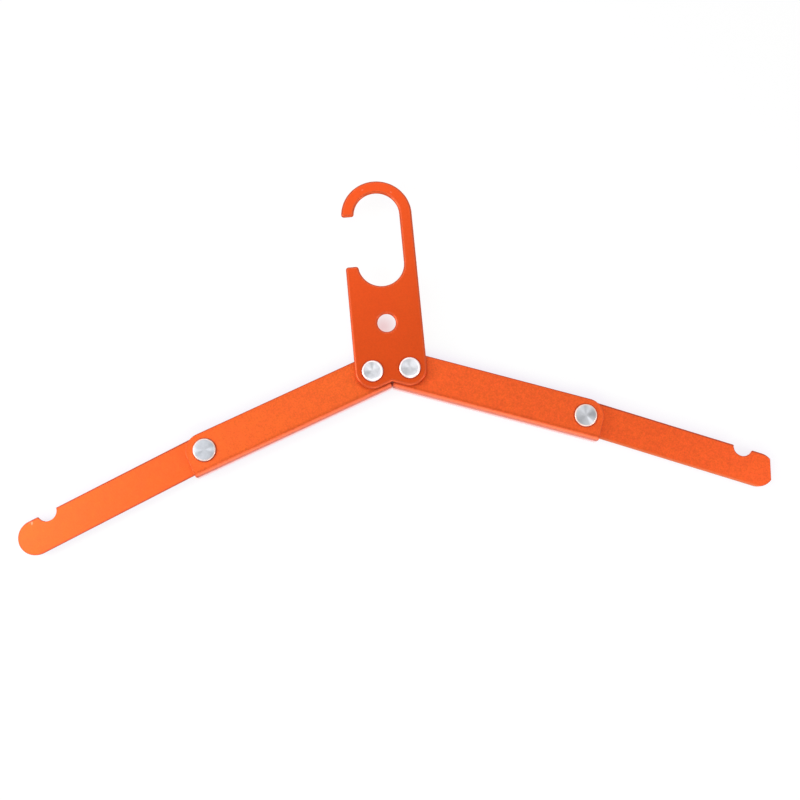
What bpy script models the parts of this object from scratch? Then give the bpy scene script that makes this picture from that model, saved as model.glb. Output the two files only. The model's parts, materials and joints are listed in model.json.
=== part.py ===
"""Folding travel hanger: a hook plate, two channel arms and two outer bars that fold into the arms.

Units are metres, +Z is up, +X is to the viewer's right and +Y points away from the viewer.
The origin is the rod seat: the top of the slot under the hook's arch, halfway through the plate.
"""
import math

import bmesh
import bpy
from mathutils import Vector

# Hook plate. Heights on it are measured up from the line of the two inner pivots. The hook's tip
# ends a little above the arch's centre, and the lip below the centre of the slot's round floor.
PLATE_WIDTH = 0.0394
PLATE_THICKNESS = 0.0025
PLATE_EDGE_RADIUS = 0.0010
ROD_SLOT_WIDTH = 0.0254
ARCH_CENTRE_HEIGHT = 0.0877
SLOT_FLOOR_CENTRE_HEIGHT = 0.0598
HOOK_TIP_RISE = 0.0002
LIP_DROP = 0.0006
LIP_CORNER_RADIUS = 0.0015
HANG_HOLE_RADIUS = 0.0050
HANG_HOLE_HEIGHT = 0.0262
HOLE_CHAMFER = 0.0003

# Pivots and the angles at which the hanger stands open.
INNER_PIVOT_SPACING = 0.0204
PIVOT_DISTANCE = 0.1000
ARM_DROOP = math.radians(20.0)
BAR_DROOP = math.radians(2.4)

# Channel arms, folded from sheet. Heights are measured from the line through both pivots.
SHEET_THICKNESS = 0.0016
SHEET_EDGE_RADIUS = 0.0003
BEND_INNER_RADIUS = 0.0004
FLANGE_HEIGHT = 0.0096
ARM_OVERHANG = 0.01015

# Outer bars. The strap notch is placed from the tip's centre and from the bar's upper edge, and
# the flat on the right bar's tip is cut in from its round end.
BAR_WIDTH = 0.0187
BAR_THICKNESS = 0.0020
BAR_EDGE_RADIUS = 0.0004
BAR_LENGTH = 0.1000
NOTCH_SETBACK = 0.0107
NOTCH_RISE = 0.00075
NOTCH_RADIUS = 0.0054
RIGHT_TIP_FLAT_DEPTH = 0.00195
RIGHT_TIP_FLAT_ANGLE = math.radians(16.7)

# Rivets, their caps and the washers between the leaves.
SHANK_RADIUS = 0.0025
HOLE_CLEARANCE = 0.0002
INNER_HEAD_RADIUS = 0.0058
INNER_HEAD_THICKNESS = 0.0011
INNER_HEAD_BEVEL = 0.0005
INNER_HEAD_RIM_WIDTH = 0.0014
INNER_HEAD_DISH_DEPTH = 0.0002
CAP_RADIUS = 0.0045
CAP_THICKNESS = 0.0009
CAP_BEVEL = 0.0003
OUTER_HEAD_RADIUS = 0.0062
OUTER_HEAD_THICKNESS = 0.0009
OUTER_HEAD_BEVEL = 0.0003
OUTER_PIN_RADIUS = 0.0013
PIN_BORE_CLEARANCE = 0.0002
PLATE_WASHER_RADIUS = 0.0060
PLATE_WASHER_THICKNESS = 0.0010
THIN_WASHER_RADIUS = 0.0055
THIN_WASHER_THICKNESS = 0.0003
SPACER_RADIUS = 0.0045

# Clearances, and the overrun of every cutter past what it cuts.
LEAF_GAP = 0.0002
STOP_GAP = 0.0002
BAR_CLEARANCE = 0.0004
CUTTER_OVERRUN = 0.0020

# Steps of the round shapes.
ARC_STEPS = 24
CORNER_STEPS = 4
BEND_STEPS = 5
PLATE_EDGE_STEPS = 3
SHEET_EDGE_STEPS = 2
SHANK_STEPS = 32
HEAD_STEPS = 40
SMOOTH_ANGLE = math.radians(35)
EDGE_ANGLE = math.radians(50)

# Heights and half widths that follow from the sizes above.
PIVOT_X = INNER_PIVOT_SPACING / 2
PIVOT_Z = -(ARCH_CENTRE_HEIGHT + ROD_SLOT_WIDTH / 2)
PLATE_HALF_WIDTH = PLATE_WIDTH / 2
SLOT_RADIUS = ROD_SLOT_WIDTH / 2
LOBE_RADIUS = PLATE_HALF_WIDTH - PIVOT_X
BAR_HALF_WIDTH = BAR_WIDTH / 2
HOLE_RADIUS = SHANK_RADIUS + HOLE_CLEARANCE
BEND_OUTER_RADIUS = BEND_INNER_RADIUS + SHEET_THICKNESS

# The bar's lower edge rests on the outer end of the channel's web, which sets the web's depth.
WEB_INNER_DEPTH = (
    BAR_HALF_WIDTH + STOP_GAP + ARM_OVERHANG * math.sin(BAR_DROOP)
) / math.cos(BAR_DROOP)
WEB_OUTER_DEPTH = WEB_INNER_DEPTH + SHEET_THICKNESS

# The webs of the two arms butt on the centre line, which sets how far they pass the inner pivots.
INNER_OVERHANG = (
    PIVOT_X - STOP_GAP / 2 - WEB_OUTER_DEPTH * math.sin(ARM_DROOP)
) / math.cos(ARM_DROOP)

# Layers through the depth, front to back.
PLATE_FRONT = -PLATE_THICKNESS / 2
PLATE_REAR = PLATE_THICKNESS / 2
WASHER_FRONT = PLATE_REAR + LEAF_GAP
WASHER_REAR = WASHER_FRONT + PLATE_WASHER_THICKNESS
FLANGE_FRONT = WASHER_REAR + LEAF_GAP
FLANGE_INSIDE = FLANGE_FRONT + SHEET_THICKNESS
INSIDE_WASHER_FRONT = FLANGE_INSIDE + LEAF_GAP
INSIDE_WASHER_REAR = INSIDE_WASHER_FRONT + THIN_WASHER_THICKNESS
CAP_FRONT = INSIDE_WASHER_REAR + LEAF_GAP
CAP_REAR = CAP_FRONT + CAP_THICKNESS
BAR_FRONT = CAP_REAR + BAR_CLEARANCE
BAR_REAR = BAR_FRONT + BAR_THICKNESS
SPACER_FRONT = FLANGE_INSIDE + LEAF_GAP
SPACER_REAR = BAR_FRONT - LEAF_GAP
SHIM_FRONT = BAR_REAR + LEAF_GAP
SHIM_REAR = SHIM_FRONT + THIN_WASHER_THICKNESS
REAR_FLANGE_INSIDE = SHIM_REAR + LEAF_GAP
REAR_FLANGE_REAR = REAR_FLANGE_INSIDE + SHEET_THICKNESS

FULL_TURN = 2 * math.pi
HALF_TURN = math.pi
QUARTER_TURN = math.pi / 2

LEFT = -1
RIGHT = 1
SIDE_NAMES = {LEFT: "left", RIGHT: "right"}


def clear_scene():
    """Remove every object, so that the model starts from an empty scene."""
    for item in list(bpy.data.objects):
        bpy.data.objects.remove(item)


def make_material(name, colour, roughness, metallic):
    """Return a Principled material."""
    material = bpy.data.materials.new(name)
    material.use_nodes = True
    shader = material.node_tree.nodes["Principled BSDF"]
    shader.inputs["Base Color"].default_value = (*colour, 1.0)
    shader.inputs["Roughness"].default_value = roughness
    shader.inputs["Metallic"].default_value = metallic
    return material


def arc(centre, radius, start, end, steps=ARC_STEPS):
    """Return points on an arc from one angle to another, both ends included."""
    points = []
    for step in range(steps + 1):
        angle = start + (end - start) * step / steps
        points.append((centre[0] + radius * math.cos(angle), centre[1] + radius * math.sin(angle)))
    return points


def fillet(before, corner, after, radius, steps=CORNER_STEPS):
    """Return the points that round a corner between two straight stretches."""
    here = Vector(corner)
    back = (Vector(before) - here).normalized()
    ahead = (Vector(after) - here).normalized()
    half_angle = back.angle(ahead) / 2
    setback = radius / math.tan(half_angle)
    centre = here + (back + ahead).normalized() * radius / math.sin(half_angle)
    first = here + back * setback - centre
    last = here + ahead * setback - centre
    start = math.atan2(first.y, first.x)
    sweep = math.atan2(last.y, last.x) - start
    sweep -= FULL_TURN * round(sweep / FULL_TURN)
    return arc(centre, radius, start, start + sweep, steps)


def new_object(name, mesh, material, parent=None, location=(0, 0, 0)):
    """Link a mesh object under a parent, shaded smooth with its corners kept sharp."""
    item = bpy.data.objects.new(name, mesh)
    bpy.context.collection.objects.link(item)
    item.parent = parent
    item.location = location
    if material:
        mesh.materials.append(material)
    mesh.shade_smooth()
    mesh.set_sharp_from_angle(angle=SMOOTH_ANGLE)
    return item


def new_pivot(name, parent, location, angle):
    """Add an empty on a joint's axis, turned about +Y."""
    pivot = bpy.data.objects.new(name, None)
    bpy.context.collection.objects.link(pivot)
    pivot.parent = parent
    pivot.location = location
    pivot.rotation_euler = (0, angle, 0)
    return pivot


def plate_mesh(name, outline, front, rear):
    """Extrude an outline in X and Z from its front face to its rear face."""
    shape = bmesh.new()
    corners = [shape.verts.new((x, front, z)) for x, z in outline]
    shape.faces.new(corners)
    grown = bmesh.ops.extrude_face_region(shape, geom=shape.faces[:])
    moved = [part for part in grown["geom"] if isinstance(part, bmesh.types.BMVert)]
    bmesh.ops.translate(shape, verts=moved, vec=(0, rear - front, 0))
    bmesh.ops.recalc_face_normals(shape, faces=shape.faces[:])
    return finish_mesh(name, shape)


def bar_mesh(name, section, start, end):
    """Extrude a section in Y and Z along X."""
    shape = bmesh.new()
    corners = [shape.verts.new((start, y, z)) for y, z in section]
    shape.faces.new(corners)
    grown = bmesh.ops.extrude_face_region(shape, geom=shape.faces[:])
    moved = [part for part in grown["geom"] if isinstance(part, bmesh.types.BMVert)]
    bmesh.ops.translate(shape, verts=moved, vec=(end - start, 0, 0))
    bmesh.ops.recalc_face_normals(shape, faces=shape.faces[:])
    return finish_mesh(name, shape)


def turned_mesh(name, profile, steps):
    """Turn a closed profile of (radius, depth) points about the Y axis."""
    shape = bmesh.new()
    rings = []
    for radius, depth in profile:
        count = steps if radius > 0 else 1
        ring = []
        for step in range(count):
            angle = FULL_TURN * step / steps
            ring.append(shape.verts.new((radius * math.cos(angle), depth, radius * math.sin(angle))))
        rings.append(ring)
    for ring, following in zip(rings, rings[1:] + rings[:1]):
        for step in range(steps):
            corners = [ring[step % len(ring)], ring[(step + 1) % len(ring)]]
            corners += [following[(step + 1) % len(following)], following[step % len(following)]]
            corners = list(dict.fromkeys(corners))
            if len(corners) > 2:
                shape.faces.new(corners)
    bmesh.ops.recalc_face_normals(shape, faces=shape.faces[:])
    return finish_mesh(name, shape)


def finish_mesh(name, shape):
    """Turn a bmesh into a mesh."""
    mesh = bpy.data.meshes.new(name)
    shape.to_mesh(mesh)
    shape.free()
    return mesh


def round_edges(item, radius, segments):
    """Round the edges that stand at a right angle or so."""
    bevel = item.modifiers.new("rounded_edges", "BEVEL")
    bevel.width = radius
    bevel.segments = segments
    bevel.limit_method = "ANGLE"
    bevel.angle_limit = EDGE_ANGLE


def cut(item, cutter, operation="DIFFERENCE"):
    """Cut an object with another, which stays as a hidden guide in the same place."""
    cutter.hide_render = True
    cutter.display_type = "WIRE"
    boolean = item.modifiers.new(cutter.name, "BOOLEAN")
    boolean.operation = operation
    boolean.solver = "EXACT"
    boolean.object = cutter


def plain_hole(radius, front, rear):
    """Return the cutter profile of a plain round hole through a leaf."""
    start = front - CUTTER_OVERRUN
    end = rear + CUTTER_OVERRUN
    return [(0, start), (radius, start), (radius, end), (0, end)]


def chamfered_hole(radius, chamfer, front, rear):
    """Return the cutter profile of a round hole with both rims broken at 45 degrees."""
    start = front - CUTTER_OVERRUN
    end = rear + CUTTER_OVERRUN
    mouth_radius = radius + chamfer + CUTTER_OVERRUN
    profile = [(0, start), (mouth_radius, start), (radius, front + chamfer)]
    profile += [(radius, rear - chamfer), (mouth_radius, end), (0, end)]
    return profile


def hole_cutter(name, profile, parent, location, steps=SHANK_STEPS):
    """Make the cutter of a round hole from its profile."""
    return new_object(name, turned_mesh(name, profile, steps), None, parent, location)


def hook_outline():
    """Return the hook plate's outline in X and Z, going round from the notch between its two lobes."""
    notch_bottom = (PIVOT_X * math.sin(ARM_DROOP) - LOBE_RADIUS) / math.cos(ARM_DROOP)
    arch = (0, ARCH_CENTRE_HEIGHT)
    floor = (0, SLOT_FLOOR_CENTRE_HEIGHT)
    outer_tip_angle = HALF_TURN - math.asin(HOOK_TIP_RISE / PLATE_HALF_WIDTH)
    inner_tip_angle = HALF_TURN - math.asin(HOOK_TIP_RISE / SLOT_RADIUS)
    lip_angle = -HALF_TURN + math.asin(LIP_DROP / SLOT_RADIUS)
    right_lobe = arc((PIVOT_X, 0), LOBE_RADIUS, -QUARTER_TURN - ARM_DROOP, 0)
    outer_arch = arc(arch, PLATE_HALF_WIDTH, 0, outer_tip_angle)
    inner_arch = arc(arch, SLOT_RADIUS, inner_tip_angle, 0)
    slot_floor = arc(floor, SLOT_RADIUS, 0, lip_angle)
    left_lobe = arc((-PIVOT_X, 0), LOBE_RADIUS, HALF_TURN, HALF_TURN + QUARTER_TURN + ARM_DROOP)
    lip_outside = (-PLATE_HALF_WIDTH, SLOT_FLOOR_CENTRE_HEIGHT - LIP_DROP)
    tip = fillet(outer_arch[-2], outer_arch[-1], inner_arch[0], LIP_CORNER_RADIUS)
    tip += fillet(outer_arch[-1], inner_arch[0], inner_arch[1], LIP_CORNER_RADIUS)
    lip = fillet(slot_floor[-2], slot_floor[-1], lip_outside, LIP_CORNER_RADIUS)
    lip += fillet(slot_floor[-1], lip_outside, left_lobe[0], LIP_CORNER_RADIUS)
    points = [(0, notch_bottom)] + right_lobe + outer_arch[:-1] + tip + inner_arch[1:]
    points += slot_floor[:-1] + lip + left_lobe
    return [(x, z + PIVOT_Z) for x, z in points]


def make_hook_plate(material):
    """Make the hook plate with its hang hole and its two rivet holes."""
    mesh = plate_mesh("hook_plate", hook_outline(), PLATE_FRONT, PLATE_REAR)
    plate = new_object("hook_plate", mesh, material)
    round_edges(plate, PLATE_EDGE_RADIUS, PLATE_EDGE_STEPS)
    hang_profile = chamfered_hole(HANG_HOLE_RADIUS, HOLE_CHAMFER, PLATE_FRONT, PLATE_REAR)
    hang_centre = (0, 0, PIVOT_Z + HANG_HOLE_HEIGHT)
    cut(plate, hole_cutter("hang_hole_cutter", hang_profile, None, hang_centre, HEAD_STEPS))
    rivet_profile = plain_hole(HOLE_RADIUS, PLATE_FRONT, PLATE_REAR)
    for side, side_name in SIDE_NAMES.items():
        rivet_centre = (side * PIVOT_X, 0, PIVOT_Z)
        cut(plate, hole_cutter(side_name + "_plate_hole_cutter", rivet_profile, None, rivet_centre))
    return plate


def channel_section():
    """Return the channel's section in Y and Z: open at the top, with bent lower corners."""
    front_bend = (FLANGE_FRONT + BEND_OUTER_RADIUS, BEND_OUTER_RADIUS - WEB_OUTER_DEPTH)
    rear_bend = (REAR_FLANGE_REAR - BEND_OUTER_RADIUS, BEND_OUTER_RADIUS - WEB_OUTER_DEPTH)
    points = [(FLANGE_FRONT, FLANGE_HEIGHT)]
    points += arc(front_bend, BEND_OUTER_RADIUS, HALF_TURN, HALF_TURN + QUARTER_TURN, BEND_STEPS)
    points += arc(rear_bend, BEND_OUTER_RADIUS, -QUARTER_TURN, 0, BEND_STEPS)
    points += [(REAR_FLANGE_REAR, FLANGE_HEIGHT), (REAR_FLANGE_INSIDE, FLANGE_HEIGHT)]
    points += arc(rear_bend, BEND_INNER_RADIUS, 0, -QUARTER_TURN, BEND_STEPS)
    points += arc(front_bend, BEND_INNER_RADIUS, HALF_TURN + QUARTER_TURN, HALF_TURN, BEND_STEPS)
    points += [(FLANGE_INSIDE, FLANGE_HEIGHT)]
    return points


def channel_side_outline(side):
    """Return the channel's outline from the front: upper corners round about the rivets, lower square."""
    inner_reach = math.asin(INNER_OVERHANG / FLANGE_HEIGHT)
    outer_end = PIVOT_DISTANCE + ARM_OVERHANG
    outer_corner = (outer_end - FLANGE_HEIGHT, 0)
    lower = -WEB_OUTER_DEPTH - CUTTER_OVERRUN
    points = [(-INNER_OVERHANG, lower)]
    points += arc((0, 0), FLANGE_HEIGHT, QUARTER_TURN + inner_reach, QUARTER_TURN, ARC_STEPS // 2)
    points += arc(outer_corner, FLANGE_HEIGHT, QUARTER_TURN, 0, ARC_STEPS // 2)
    points += [(outer_end, lower)]
    return [(side * x, z) for x, z in points]


def make_channel(side, pivot, material):
    """Make one channel arm in its own frame, with its inner pivot at the frame's origin."""
    name = SIDE_NAMES[side] + "_arm_channel"
    start = -side * (INNER_OVERHANG + CUTTER_OVERRUN)
    end = side * (PIVOT_DISTANCE + ARM_OVERHANG + CUTTER_OVERRUN)
    channel = new_object(name, bar_mesh(name, channel_section(), start, end), material, pivot)
    trim_name = SIDE_NAMES[side] + "_arm_trim"
    trim_mesh = plate_mesh(trim_name, channel_side_outline(side),
                           FLANGE_FRONT - CUTTER_OVERRUN, REAR_FLANGE_REAR + CUTTER_OVERRUN)
    cut(channel, new_object(trim_name, trim_mesh, None, pivot), "INTERSECT")
    round_edges(channel, SHEET_EDGE_RADIUS, SHEET_EDGE_STEPS)
    inner_profile = plain_hole(HOLE_RADIUS, FLANGE_FRONT, FLANGE_INSIDE)
    outer_profile = plain_hole(HOLE_RADIUS, FLANGE_FRONT, REAR_FLANGE_REAR)
    outer_centre = (side * PIVOT_DISTANCE, 0, 0)
    cut(channel, hole_cutter(name + "_inner_hole", inner_profile, pivot, (0, 0, 0)))
    cut(channel, hole_cutter(name + "_outer_hole", outer_profile, pivot, outer_centre))
    return channel


def bar_outline(side):
    """Return an outer bar's outline: round at its pivot and its tip, with the strap notch above."""
    notch_centre = (BAR_LENGTH - NOTCH_SETBACK, BAR_HALF_WIDTH + NOTCH_RISE)
    notch_end = math.asin(NOTCH_RISE / NOTCH_RADIUS)
    tip_centre = (BAR_LENGTH, 0)
    points = arc((0, 0), BAR_HALF_WIDTH, HALF_TURN + QUARTER_TURN, QUARTER_TURN)
    points += arc(notch_centre, NOTCH_RADIUS, HALF_TURN + notch_end, FULL_TURN - notch_end)
    if side == RIGHT:
        flat_half_angle = math.acos((BAR_HALF_WIDTH - RIGHT_TIP_FLAT_DEPTH) / BAR_HALF_WIDTH)
        upper = RIGHT_TIP_FLAT_ANGLE + flat_half_angle
        lower = RIGHT_TIP_FLAT_ANGLE - flat_half_angle
        points += arc(tip_centre, BAR_HALF_WIDTH, QUARTER_TURN, upper, ARC_STEPS // 2)
        points += arc(tip_centre, BAR_HALF_WIDTH, lower, -QUARTER_TURN, ARC_STEPS // 2)
    else:
        points += arc(tip_centre, BAR_HALF_WIDTH, QUARTER_TURN, -QUARTER_TURN)
    return [(side * x, z) for x, z in points]


def make_bar(side, pivot, material):
    """Make one outer bar in its own frame, with its pivot at the frame's origin."""
    name = SIDE_NAMES[side] + "_outer_bar"
    mesh = plate_mesh(name, bar_outline(side), BAR_FRONT, BAR_REAR)
    bar = new_object(name, mesh, material, pivot)
    round_edges(bar, BAR_EDGE_RADIUS, SHEET_EDGE_STEPS)
    hole_profile = plain_hole(HOLE_RADIUS, BAR_FRONT, BAR_REAR)
    cut(bar, hole_cutter(name + "_hole", hole_profile, pivot, (0, 0, 0)))
    return bar


def make_ring(name, radius, front, rear, material, parent, location):
    """Make a flat washer or spacer that turns freely on a rivet's shank."""
    profile = [(HOLE_RADIUS, front), (radius, front), (radius, rear), (HOLE_RADIUS, rear)]
    return new_object(name, turned_mesh(name, profile, HEAD_STEPS), material, parent, location)


def make_inner_rivet(side_name, material, location):
    """Make the rivet of an inner pivot: a dished head in front of the plate and a plain shank."""
    head_rear = PLATE_FRONT - LEAF_GAP
    head_front = head_rear - INNER_HEAD_THICKNESS
    dish_radius = INNER_HEAD_RADIUS - INNER_HEAD_RIM_WIDTH
    profile = [
        (0, head_front + INNER_HEAD_DISH_DEPTH),
        (dish_radius, head_front + INNER_HEAD_DISH_DEPTH),
        (dish_radius + INNER_HEAD_DISH_DEPTH, head_front),
        (INNER_HEAD_RADIUS - INNER_HEAD_BEVEL, head_front),
        (INNER_HEAD_RADIUS, head_front + INNER_HEAD_BEVEL),
        (INNER_HEAD_RADIUS, head_rear),
        (SHANK_RADIUS, head_rear),
        (SHANK_RADIUS, CAP_REAR),
        (0, CAP_REAR),
    ]
    name = side_name + "_inner_rivet"
    return new_object(name, turned_mesh(name, profile, HEAD_STEPS), material, None, location)


def make_inner_cap(side_name, material, location):
    """Make the cap ring that the inner rivet's shank is closed over, inside the channel."""
    profile = [
        (HOLE_RADIUS, CAP_FRONT),
        (CAP_RADIUS, CAP_FRONT),
        (CAP_RADIUS, CAP_REAR - CAP_BEVEL),
        (CAP_RADIUS - CAP_BEVEL, CAP_REAR),
        (HOLE_RADIUS, CAP_REAR),
    ]
    name = side_name + "_inner_rivet_cap"
    return new_object(name, turned_mesh(name, profile, HEAD_STEPS), material, None, location)


def make_outer_rivet(side_name, material, parent, location):
    """Make the front half of an outer rivet: a flat head and a tube that the bar turns on."""
    head_rear = FLANGE_FRONT - LEAF_GAP
    head_front = head_rear - OUTER_HEAD_THICKNESS
    bore_radius = OUTER_PIN_RADIUS + PIN_BORE_CLEARANCE
    profile = [
        (0, head_front),
        (OUTER_HEAD_RADIUS - OUTER_HEAD_BEVEL, head_front),
        (OUTER_HEAD_RADIUS, head_front + OUTER_HEAD_BEVEL),
        (OUTER_HEAD_RADIUS, head_rear),
        (SHANK_RADIUS, head_rear),
        (SHANK_RADIUS, REAR_FLANGE_REAR),
        (bore_radius, REAR_FLANGE_REAR),
        (bore_radius, FLANGE_INSIDE),
        (0, FLANGE_INSIDE),
    ]
    name = side_name + "_outer_rivet"
    return new_object(name, turned_mesh(name, profile, HEAD_STEPS), material, parent, location)


def make_outer_rivet_back(side_name, material, parent, location):
    """Make the rear half of an outer rivet: a flat head and the pin pressed into the tube."""
    head_front = REAR_FLANGE_REAR + LEAF_GAP
    head_rear = head_front + OUTER_HEAD_THICKNESS
    profile = [
        (0, FLANGE_INSIDE + PIN_BORE_CLEARANCE),
        (OUTER_PIN_RADIUS, FLANGE_INSIDE + PIN_BORE_CLEARANCE),
        (OUTER_PIN_RADIUS, head_front),
        (OUTER_HEAD_RADIUS, head_front),
        (OUTER_HEAD_RADIUS, head_rear - OUTER_HEAD_BEVEL),
        (OUTER_HEAD_RADIUS - OUTER_HEAD_BEVEL, head_rear),
        (0, head_rear),
    ]
    name = side_name + "_outer_rivet_back"
    return new_object(name, turned_mesh(name, profile, HEAD_STEPS), material, parent, location)


def make_side(side, orange, metal, nylon):
    """Make everything on one side of the hook plate."""
    side_name = SIDE_NAMES[side]
    inner = (side * PIVOT_X, 0, PIVOT_Z)
    outer = (side * PIVOT_DISTANCE, 0, 0)
    arm_pivot = new_pivot(side_name + "_arm_pivot", None, inner, side * ARM_DROOP)
    bar_pivot = new_pivot(side_name + "_bar_pivot", arm_pivot, outer, side * BAR_DROOP)
    make_inner_rivet(side_name, metal, inner)
    make_ring(side_name + "_plate_washer", PLATE_WASHER_RADIUS, WASHER_FRONT, WASHER_REAR,
              nylon, None, inner)
    make_ring(side_name + "_inside_washer", THIN_WASHER_RADIUS, INSIDE_WASHER_FRONT,
              INSIDE_WASHER_REAR, nylon, None, inner)
    make_inner_cap(side_name, metal, inner)
    make_channel(side, arm_pivot, orange)
    make_outer_rivet(side_name, metal, arm_pivot, outer)
    make_outer_rivet_back(side_name, metal, arm_pivot, outer)
    make_ring(side_name + "_bar_spacer", SPACER_RADIUS, SPACER_FRONT, SPACER_REAR,
              nylon, arm_pivot, outer)
    make_ring(side_name + "_bar_shim", THIN_WASHER_RADIUS, SHIM_FRONT, SHIM_REAR,
              nylon, arm_pivot, outer)
    make_bar(side, bar_pivot, orange)


def main():
    """Build the hanger, standing open as it hangs."""
    clear_scene()
    orange = make_material("orange_anodised", (0.80, 0.11, 0.018), 0.42, 0.55)
    metal = make_material("turned_metal", (0.72, 0.73, 0.75), 0.28, 1.0)
    nylon = make_material("nylon", (0.82, 0.82, 0.80), 0.50, 0.0)
    make_hook_plate(orange)
    for side in SIDE_NAMES:
        make_side(side, orange, metal, nylon)
    bpy.context.view_layer.update()


main()
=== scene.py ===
"""Looks of the folding travel hanger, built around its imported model.

Lengths are metres, +Z is up, +X is to the viewer's right and +Y points away from the viewer. The origin
is the rod seat, the top of the slot under the hook's arch. Each sub-assembly is a class that takes its
place from the frame, builds its meshes and dresses them in procedural finishes.
"""
import json
import logging
import math
from abc import ABC, abstractmethod
from dataclasses import dataclass, replace
from enum import Enum
from typing import Any, Union

import bmesh
import bpy
from mathutils import Euler, Matrix, Vector
from mathutils.geometry import tessellate_polygon


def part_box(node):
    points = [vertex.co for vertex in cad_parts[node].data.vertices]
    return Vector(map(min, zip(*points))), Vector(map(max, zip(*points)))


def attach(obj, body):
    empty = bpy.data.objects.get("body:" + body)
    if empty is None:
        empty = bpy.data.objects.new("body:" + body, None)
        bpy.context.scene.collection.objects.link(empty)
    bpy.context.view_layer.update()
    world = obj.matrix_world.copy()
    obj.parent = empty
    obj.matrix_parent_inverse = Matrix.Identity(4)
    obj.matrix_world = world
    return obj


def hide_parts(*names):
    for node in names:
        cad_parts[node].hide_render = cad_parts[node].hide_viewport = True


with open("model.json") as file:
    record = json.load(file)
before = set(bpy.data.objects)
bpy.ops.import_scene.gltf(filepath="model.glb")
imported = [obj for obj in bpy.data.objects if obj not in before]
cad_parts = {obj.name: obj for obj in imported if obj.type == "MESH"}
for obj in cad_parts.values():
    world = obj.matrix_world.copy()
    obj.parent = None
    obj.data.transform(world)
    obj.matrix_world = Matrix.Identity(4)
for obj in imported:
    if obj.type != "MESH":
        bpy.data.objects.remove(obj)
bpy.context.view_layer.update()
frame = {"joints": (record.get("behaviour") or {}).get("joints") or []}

Point = tuple[float, float]
Loop = list[Point]
Face = tuple[int, ...]
Triple = tuple[float, float, float]
Colour = Triple
Direction = Triple
Place = Triple

FULL_TURN = 2 * math.pi
HALF_TURN = math.pi
QUARTER_TURN = math.pi / 2
LINE_TOLERANCE = 1e-6
WEAR = "wear"
WHITE: Colour = (1.0, 1.0, 1.0)
BLACK: Colour = (0.0, 0.0, 0.0)

# Sizes that several pieces share
BAR_HALF_WIDTH = 0.00935
FLANGE_HEIGHT = 0.0096
SHEET_THICKNESS = 0.0016
SHEET_EDGE_RADIUS = 0.00025
SHEET_EDGE_MARGIN = 0.00015
SHANK_RADIUS = 0.0025
PIVOT_HOLE_RADIUS = 0.0027
WASHER_BEVEL = 0.00005

log = logging.getLogger("hanger")


def srgb(red: int, green: int, blue: int) -> Colour:
    """Return the linear colour of a display colour.

    Args:
        red: Red from 0 to 255.
        green: Green from 0 to 255.
        blue: Blue from 0 to 255.

    Returns:
        The same colour in linear light, from 0 to 1.
    """
    def linear(value: int) -> float:
        """Return one channel in linear light."""
        share = value / 255
        return share / 12.92 if share <= 0.04045 else ((share + 0.055) / 1.055) ** 2.4

    return linear(red), linear(green), linear(blue)


def arc(centre: Point, radius: float, start: float, end: float, steps: int) -> Loop:
    """Return points on an arc, both ends included.

    Args:
        centre: The arc's centre.
        radius: The arc's radius.
        start: Angle of the first point, in radians.
        end: Angle of the last point, in radians.
        steps: Number of straight stretches.

    Returns:
        The points in order.
    """
    angles = [start + (end - start) * step / steps for step in range(steps + 1)]
    return [(centre[0] + radius * math.cos(a), centre[1] + radius * math.sin(a)) for a in angles]


def short_arc(centre: Point, radius: float, start: float, end: float, steps: int) -> Loop:
    """Return points on an arc that goes the short way round to its end.

    Args:
        centre: The arc's centre.
        radius: The arc's radius.
        start: Angle of the first point, in radians.
        end: Angle of the last point, give or take whole turns.
        steps: Number of straight stretches.

    Returns:
        The points in order.
    """
    sweep = end - start
    sweep -= FULL_TURN * round(sweep / FULL_TURN)
    return arc(centre, radius, start, start + sweep, steps)


def fillet(before: Point, corner: Point, after: Point, radius: float, steps: int) -> Loop:
    """Return points that round the corner between two straight stretches.

    Args:
        before: A point on the stretch that comes in.
        corner: The sharp corner.
        after: A point on the stretch that goes out.
        radius: Radius of the round.
        steps: Number of straight stretches.

    Returns:
        The round's points, from the first stretch to the second.
    """
    here = Vector(corner)
    back = (Vector(before) - here).normalized()
    ahead = (Vector(after) - here).normalized()
    half_angle = back.angle(ahead) / 2
    setback = radius / math.tan(half_angle)
    centre = here + (back + ahead).normalized() * radius / math.sin(half_angle)
    first = here + back * setback - centre
    last = here + ahead * setback - centre
    start, end = math.atan2(first.y, first.x), math.atan2(last.y, last.x)
    return short_arc((centre.x, centre.y), radius, start, end, steps)


def circle(centre: Point, radius: float, steps: int) -> Loop:
    """Return a closed circle's points, without a repeated end."""
    return arc(centre, radius, 0, FULL_TURN, steps)[:-1]


@dataclass(frozen=True)
class LevelCorner:
    """The small round where a large arc runs into a level edge.

    Attributes:
        centre: Centre of the large arc.
        radius: Radius of the large arc, less than zero where the material lies outside it.
        level: Height of the level edge.
        round_radius: Radius of the round, less than zero where the material lies below the edge.
        side: Side of the large arc's centre on which the corner lies, 1 or -1.
        steps: Steps of the round.
    """

    centre: Point
    radius: float
    level: float
    round_radius: float
    side: int
    steps: int

    @property
    def middle(self) -> Point:
        """Centre of the round."""
        distance = abs(self.radius - abs(self.round_radius))
        rise = self.level + self.round_radius - self.centre[1]
        return self.centre[0] + self.side * math.sqrt(distance ** 2 - rise ** 2), self.centre[1] + rise

    @property
    def arc_angle(self) -> float:
        """Angle on the large arc at which the round starts."""
        middle = self.middle
        return math.atan2(middle[1] - self.centre[1], middle[0] - self.centre[0])

    def points(self) -> Loop:
        """Return the round's points.

        Returns:
            The points, from the large arc to the level edge.
        """
        start = self.arc_angle + (0 if self.radius > 0 else HALF_TURN)
        end = -math.copysign(QUARTER_TURN, self.round_radius)
        return short_arc(self.middle, abs(self.round_radius), start, end, self.steps)


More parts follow.
